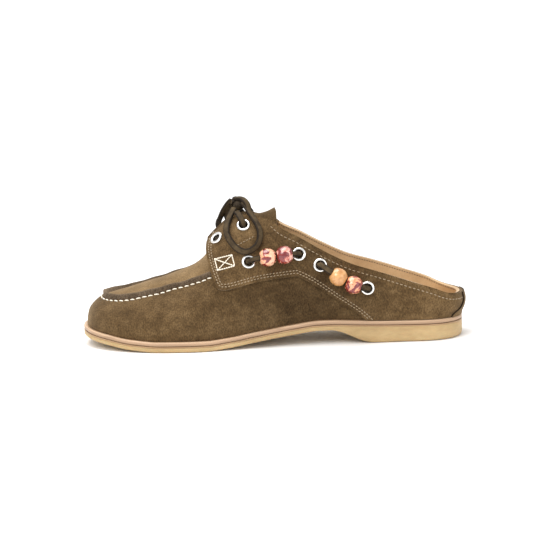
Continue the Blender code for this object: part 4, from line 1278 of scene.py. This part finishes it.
def thong(name, path, faceWay, wide=1.0):
    # sweeps the thong's section along a path; faceWay gives its face's direction at each point
    path = np.array(path, dtype=float)
    tangent = unit(np.gradient(path, axis=0))
    face = np.array([faceWay(p) for p in path], dtype=float)
    face = unit(face - tangent * np.sum(face * tangent, axis=1, keepdims=True))
    across = np.cross(tangent, face)
    halfWide, halfThick = 0.5 * lace["width"] * wide, 0.5 * lace["thickness"]
    points = [
        p + side * (a * halfWide) + out * (b * halfThick)
        for p, side, out in zip(path, across, face)
        for a, b in thongProfile
    ]
    faces = tubeFaces(len(path), len(thongProfile), capped=True)
    made = finishMesh(name, points, faces, [laceLeather], sharp=50)
    edge = [float(blendStep(abs(a), 0.50, 0.80)) for a, _ in thongProfile]
    addAttribute(made, "edge", edge * len(path))
    return tidyNormals(made)


def laceEntry(letter, side):
    matrix = eyeletFrames[(letter, side)]
    clear = eyeletSet["height"] + 1.3 * lace["cordDiameter"] / 2
    return [matrix @ Vector((0, 0, -eyeletSet["barrel"])), matrix @ Vector((0, 0, clear))]


# runs along the sides: first and second eyelet, how far they hang in degrees, width
runs = (("c", "d", 0.0, 0.80), ("e", "f", 2.3, 1.05))
runShares = (0.21, 0.40, 0.62, 0.84)
beadSet = {
    "diameter": 0.0124,
    "length": 0.0106,
    "bore": 0.0046,
    "space": 0.0012,
    "swell": 1.02,
    "around": 56,
}
runHeight = {
    outerSide: beadSet["diameter"] / 2 + layers["gap"],
    innerSide: lace["cordDiameter"] / 2 + eyeletSet["height"] + 2 * layers["gap"],
}


def runRoute(run, side, step):
    first, second, hang, _ = runs[run]
    (alongA, degreesA), (alongB, degreesB) = eyeletPlace(first), eyeletPlace(second)
    points = laceEntry(first, side)
    for share in runShares:
        along = alongA + (alongB - alongA) * share
        degrees = degreesA + (degreesB - degreesA) * share - hang * math.sin(math.pi * share)
        points.append(skinPoint(along, degrees, side, outOverSaddle + runHeight[side]))
    return flowing(points + laceEntry(second, side)[::-1], step)


for run, (first, second, _, wide) in enumerate(runs):
    for side, label in bothSides:
        where = f"{label}_{first}{second}"
        route = runRoute(run, side, lace["step"])
        piece = thong(f"thong_{where}", route, lambda p, s=side: (0, s, 0.35), wide)
        dress(piece, f"lace_{where}")


def overBar(letter, side):
    # leaves its eyelet upward and runs over the flap to the slot
    along, _ = eyeletPlace(letter)
    ahead = 1.2 * lace["cordDiameter"]
    stand = outOverSaddle + layers["gap"] + 1.15 * lace["cordDiameter"] / 2
    rise = stand + eyeletSet["height"] + layers["gap"]
    half = laceEntry(letter, side)
    half.append(skinPoint(along + 0.6 * ahead, 71.5, side, rise))
    half.append(skinPoint(along + ahead, lace["barTurn"], side, stand))
    return half


def underBar(letter, side):
    # goes down its eyelet and runs under the flap to the slot
    along, _ = eyeletPlace(letter)
    matrix = eyeletFrames[(letter, side)]
    drop = Vector((0, 0, float(flapRise(along)) - lace["cordDiameter"]))
    return [
        matrix @ Vector((0, 0, 0)),
        matrix @ Vector((0, 0, -outOverSaddle - 0.5 * lace["cordDiameter"])),
        skinPoint(along, lace["barTurn"], side, 0) - drop,
    ]


for name, letter, halfBar, node in (
    ("frontBar", "a", underBar, "lace_front_bar"), ("topBar", "b", overBar, "lace_top_bar"),
):
    outer, inner = halfBar(letter, outerSide), halfBar(letter, innerSide)
    route = flowing(outer + [0.5 * (outer[-1] + inner[-1])] + inner[::-1], lace["step"])
    centre = route.mean(axis=0) - np.array([0, 0, 0.02])
    dress(thong(name, route, lambda p, c=centre: p - c), node)
print("laces made")

# bow: along, across, height
bow = {
    "outerLoop": (
        (0.1524, -0.0062, 0.0972), (0.1496, -0.0090, 0.0942), (0.1470, -0.0140, 0.0900),
        (0.1434, -0.0198, 0.0850), (0.1411, -0.0236, 0.0801), (0.1409, -0.0270, 0.0750),
        (0.1424, -0.0293, 0.0709), (0.1455, -0.0312, 0.0680), (0.1496, -0.0322, 0.0663),
        (0.1538, -0.0317, 0.0669), (0.1578, -0.0300, 0.0693), (0.1613, -0.0271, 0.0734),
        (0.1635, -0.0234, 0.0777), (0.1638, -0.0200, 0.0815), (0.1628, -0.0156, 0.0856),
        (0.1608, -0.0112, 0.0897), (0.1584, -0.0068, 0.0934),
    ),
    "innerLoop": (
        (0.1600, -0.0006, 0.0985), (0.1622, 0.0010, 0.0962), (0.1655, 0.0068, 0.0912),
        (0.1686, 0.0132, 0.0850), (0.1703, 0.0182, 0.0810), (0.1703, 0.0230, 0.0766),
        (0.1680, 0.0264, 0.0728), (0.1640, 0.0284, 0.0702), (0.1602, 0.0281, 0.0717),
        (0.1596, 0.0252, 0.0762), (0.1618, 0.0207, 0.0806), (0.1640, 0.0158, 0.0845),
        (0.1636, 0.0100, 0.0885), (0.1620, 0.0052, 0.0922), (0.1596, 0.0020, 0.0950),
    ),
    "endFront": (
        (0.1568, 0.0040, 0.0960), (0.1575, 0.0078, 0.0942), (0.1586, 0.0116, 0.0914),
        (0.1593, 0.0146, 0.0886), (0.1596, 0.0166, 0.0864),
    ),
    "endBack": (
        (0.1520, 0.0016, 0.0956), (0.1499, 0.0048, 0.0936), (0.1482, 0.0092, 0.0904),
        (0.1470, 0.0130, 0.0883),
    ),
}


def bowRoute(rows):
    return flowing([(heelMiddle - a, b, c) for a, b, c in rows], lace["step"])


def loopThong(name, rows, tilt):
    # round a loop the thong's broad side turns part of the way to the loop's own face
    route = bowRoute(rows)
    centre = route.mean(axis=0)
    return thong(name, route, lambda p: unit(p - centre) + np.array(tilt)), route


outerLoop, outerRoute = loopThong("loopOuter", bow["outerLoop"], (0.3, -1.6, 0.5))
innerLoop, innerRoute = loopThong("loopInner", bow["innerLoop"], (0.2, 1.2, 0.5))
endFront = thong("endFront", bowRoute(bow["endFront"]), lambda p: (0.2, 0.3, 1.0))
endBack = thong("endBack", bowRoute(bow["endBack"]), lambda p: (-0.2, 0.3, 1.0))
dress(outerLoop, "lace_loop_outer")
dress(innerLoop, "lace_loop_inner")
dress(endFront, "lace_end_front")
dress(endBack, "lace_end_back")

# knot: a strand over the top, one wrapped across it, and the folded core between them
knot = {
    "over": (
        (0.1480, -0.0104, 0.0925), (0.1493, -0.0082, 0.0964), (0.1516, -0.0056, 0.0990),
        (0.1548, -0.0030, 0.0999), (0.1584, -0.0004, 0.0990), (0.1616, 0.0018, 0.0962),
    ),
    "heart": (0.1560, -0.0015, 0.0961),
    "wrapMiddle": (0.1564, -0.0017, 0.0961),
    "wrapSize": (0.0030, 0.00306, 0.0030),
    "wrapTurns": (-0.4, 2 * math.pi - 1.0),
    "wrapLean": 0.5,
    "coreSize": (0.0088, 0.0092, 0.0066),
    "coreMiddle": (0.1548, -0.0023, 0.0953),
}


def makeKnot():
    middle, size = knot["wrapMiddle"], knot["wrapSize"]
    wrap = [
        (
            middle[0] + size[0] * math.cos(t),
            middle[1] + size[1] * math.sin(t),
            middle[2] + size[2] * math.sin(t + knot["wrapLean"]),
        )
        for t in np.linspace(*knot["wrapTurns"], 22)
    ]
    heart = np.array((heelMiddle - knot["heart"][0], *knot["heart"][1:]))
    dress(thong("knot", bowRoute(knot["over"]), lambda p: (0.1, -0.35, 1.0)), "lace_knot")
    dress(thong("knotWrap", bowRoute(wrap), lambda p: p - heart))
    work = bmesh.new()
    bmesh.ops.create_uvsphere(work, u_segments=24, v_segments=14, radius=0.5)
    bmesh.ops.scale(work, vec=knot["coreSize"], verts=work.verts)
    back, *rest = knot["coreMiddle"]
    bmesh.ops.translate(work, vec=(heelMiddle - back, *rest), verts=work.verts)
    mesh = bpy.data.meshes.new("knotCore")
    work.to_mesh(mesh)
    work.free()
    mesh.materials.append(laceLeather)
    mesh.shade_smooth()
    core = bpy.data.objects.new("knotCore", mesh)
    bpy.context.scene.collection.objects.link(core)
    addAttribute(core, "edge", np.full(len(mesh.vertices), 0.8))
    dress(core)


makeKnot()
print("bow made", travelOf(outerRoute)[-1], travelOf(innerRoute)[-1])

# beads: number, run, middle of its pair along the run, place in the pair, slot
beadRows = (
    ("1", 0, 0.532, -0.5, "bead_marbled"),
    ("2", 0, 0.532, 0.5, "bead_marbled"),
    ("3", 1, 0.561, -0.5, "bead_wood"),
    ("4", 1, 0.561, 0.5, "bead_marbled"),
)
beadFinishes = {
    "1": marbledFinish("marbledPeach", 1.0, (0.70, 0.31, 0.155), (0.78, 0.47, 0.31), -0.05),
    "2": marbledFinish("marbledRose", 2.3, (0.60, 0.22, 0.16), (0.78, 0.50, 0.42), 0.03),
    "3": beadWood,
    "4": marbledFinish("marbledDark", 3.9, (0.62, 0.23, 0.10), (0.72, 0.38, 0.22), 0.02),
}


def beadProfile():
    radius, half, bore = (0.5 * beadSet[key] for key in ("diameter", "length", "bore"))
    tall = radius * beadSet["swell"]
    end = math.asin(min(0.99, half / tall))
    crown = [(radius * math.cos(t) ** 0.92, tall * math.sin(t)) for t in np.linspace(end, -end, 25)]
    return [(bore, -half), (bore, half)] + crown


for number, run, share, place, slotName in beadRows:
    start, stop = (eyeletFrames[(letter, outerSide)].translation for letter in runs[run][:2])
    route = runRoute(run, outerSide, 0.0001)
    travel = (route - np.array(start)) @ np.array((stop - start).normalized())
    goal = share * (stop - start).length + place * (beadSet["length"] + beadSet["space"])
    i = int(np.argmin(np.abs(travel - goal)))
    axis = Vector(route[i + 30] - route[i - 30]).normalized()
    bead = turnedMesh(f"bead{number}", beadProfile(), beadSet["around"], beadFinishes[number])
    bead.matrix_world = Matrix.LocRotScale(Vector(route[i]), axis.to_track_quat("Z", "Y"), None)
    dress(bead, f"bead_{number}")
print("beads made")


# floor, backdrop and lights
def makeStage():
    rows = [(-1.5, 0.0), (0.6, 0.0)]
    for t in np.linspace(0, math.pi / 2, 14):
        rows.append((1.2 + 0.8 * math.sin(t), 0.8 - 0.8 * math.cos(t)))
    rows.append((2.0, 3.0))
    points = [(x, y, z) for y, z in rows for x in (-3.0, 3.0)]
    faces = [(2 * i, 2 * i + 1, 2 * i + 3, 2 * i + 2) for i in range(len(rows) - 1)]
    made = finishMesh("floor", points, faces, [paper], sharp=80)
    made.location = (-0.1, 0, -0.0002)


lights = (
    # name, place, aim, size, power
    ("top", (-0.35, 0.10, 1.30), (-0.1, 0, 0.03), 1.1, 15.0),
    ("key", (-0.75, -1.00, 0.95), (-0.1, 0, 0.03), 0.8, 9.0),
    ("fill", (0.95, -1.10, 0.55), (-0.1, 0, 0.03), 1.1, 5.0),
)


def makeLights():
    for name, place, aim, size, power in lights:
        data = bpy.data.lights.new(name, "AREA")
        data.shape = "DISK"
        data.size = size
        data.energy = power
        light = bpy.data.objects.new(name, data)
        light.location = place
        light.rotation_euler = (Vector(aim) - Vector(place)).to_track_quat("-Z", "Y").to_euler()
        bpy.context.scene.collection.objects.link(light)
    world = bpy.data.worlds.new("studio")
    world.use_nodes = True
    world.node_tree.nodes["Background"].inputs["Color"].default_value = (1.0, 1.0, 1.0, 1.0)
    world.node_tree.nodes["Background"].inputs["Strength"].default_value = 0.85
    bpy.context.scene.world = world
    bpy.context.scene.view_settings.view_transform = "Standard"


makeStage()
makeLights()
print("stage set")
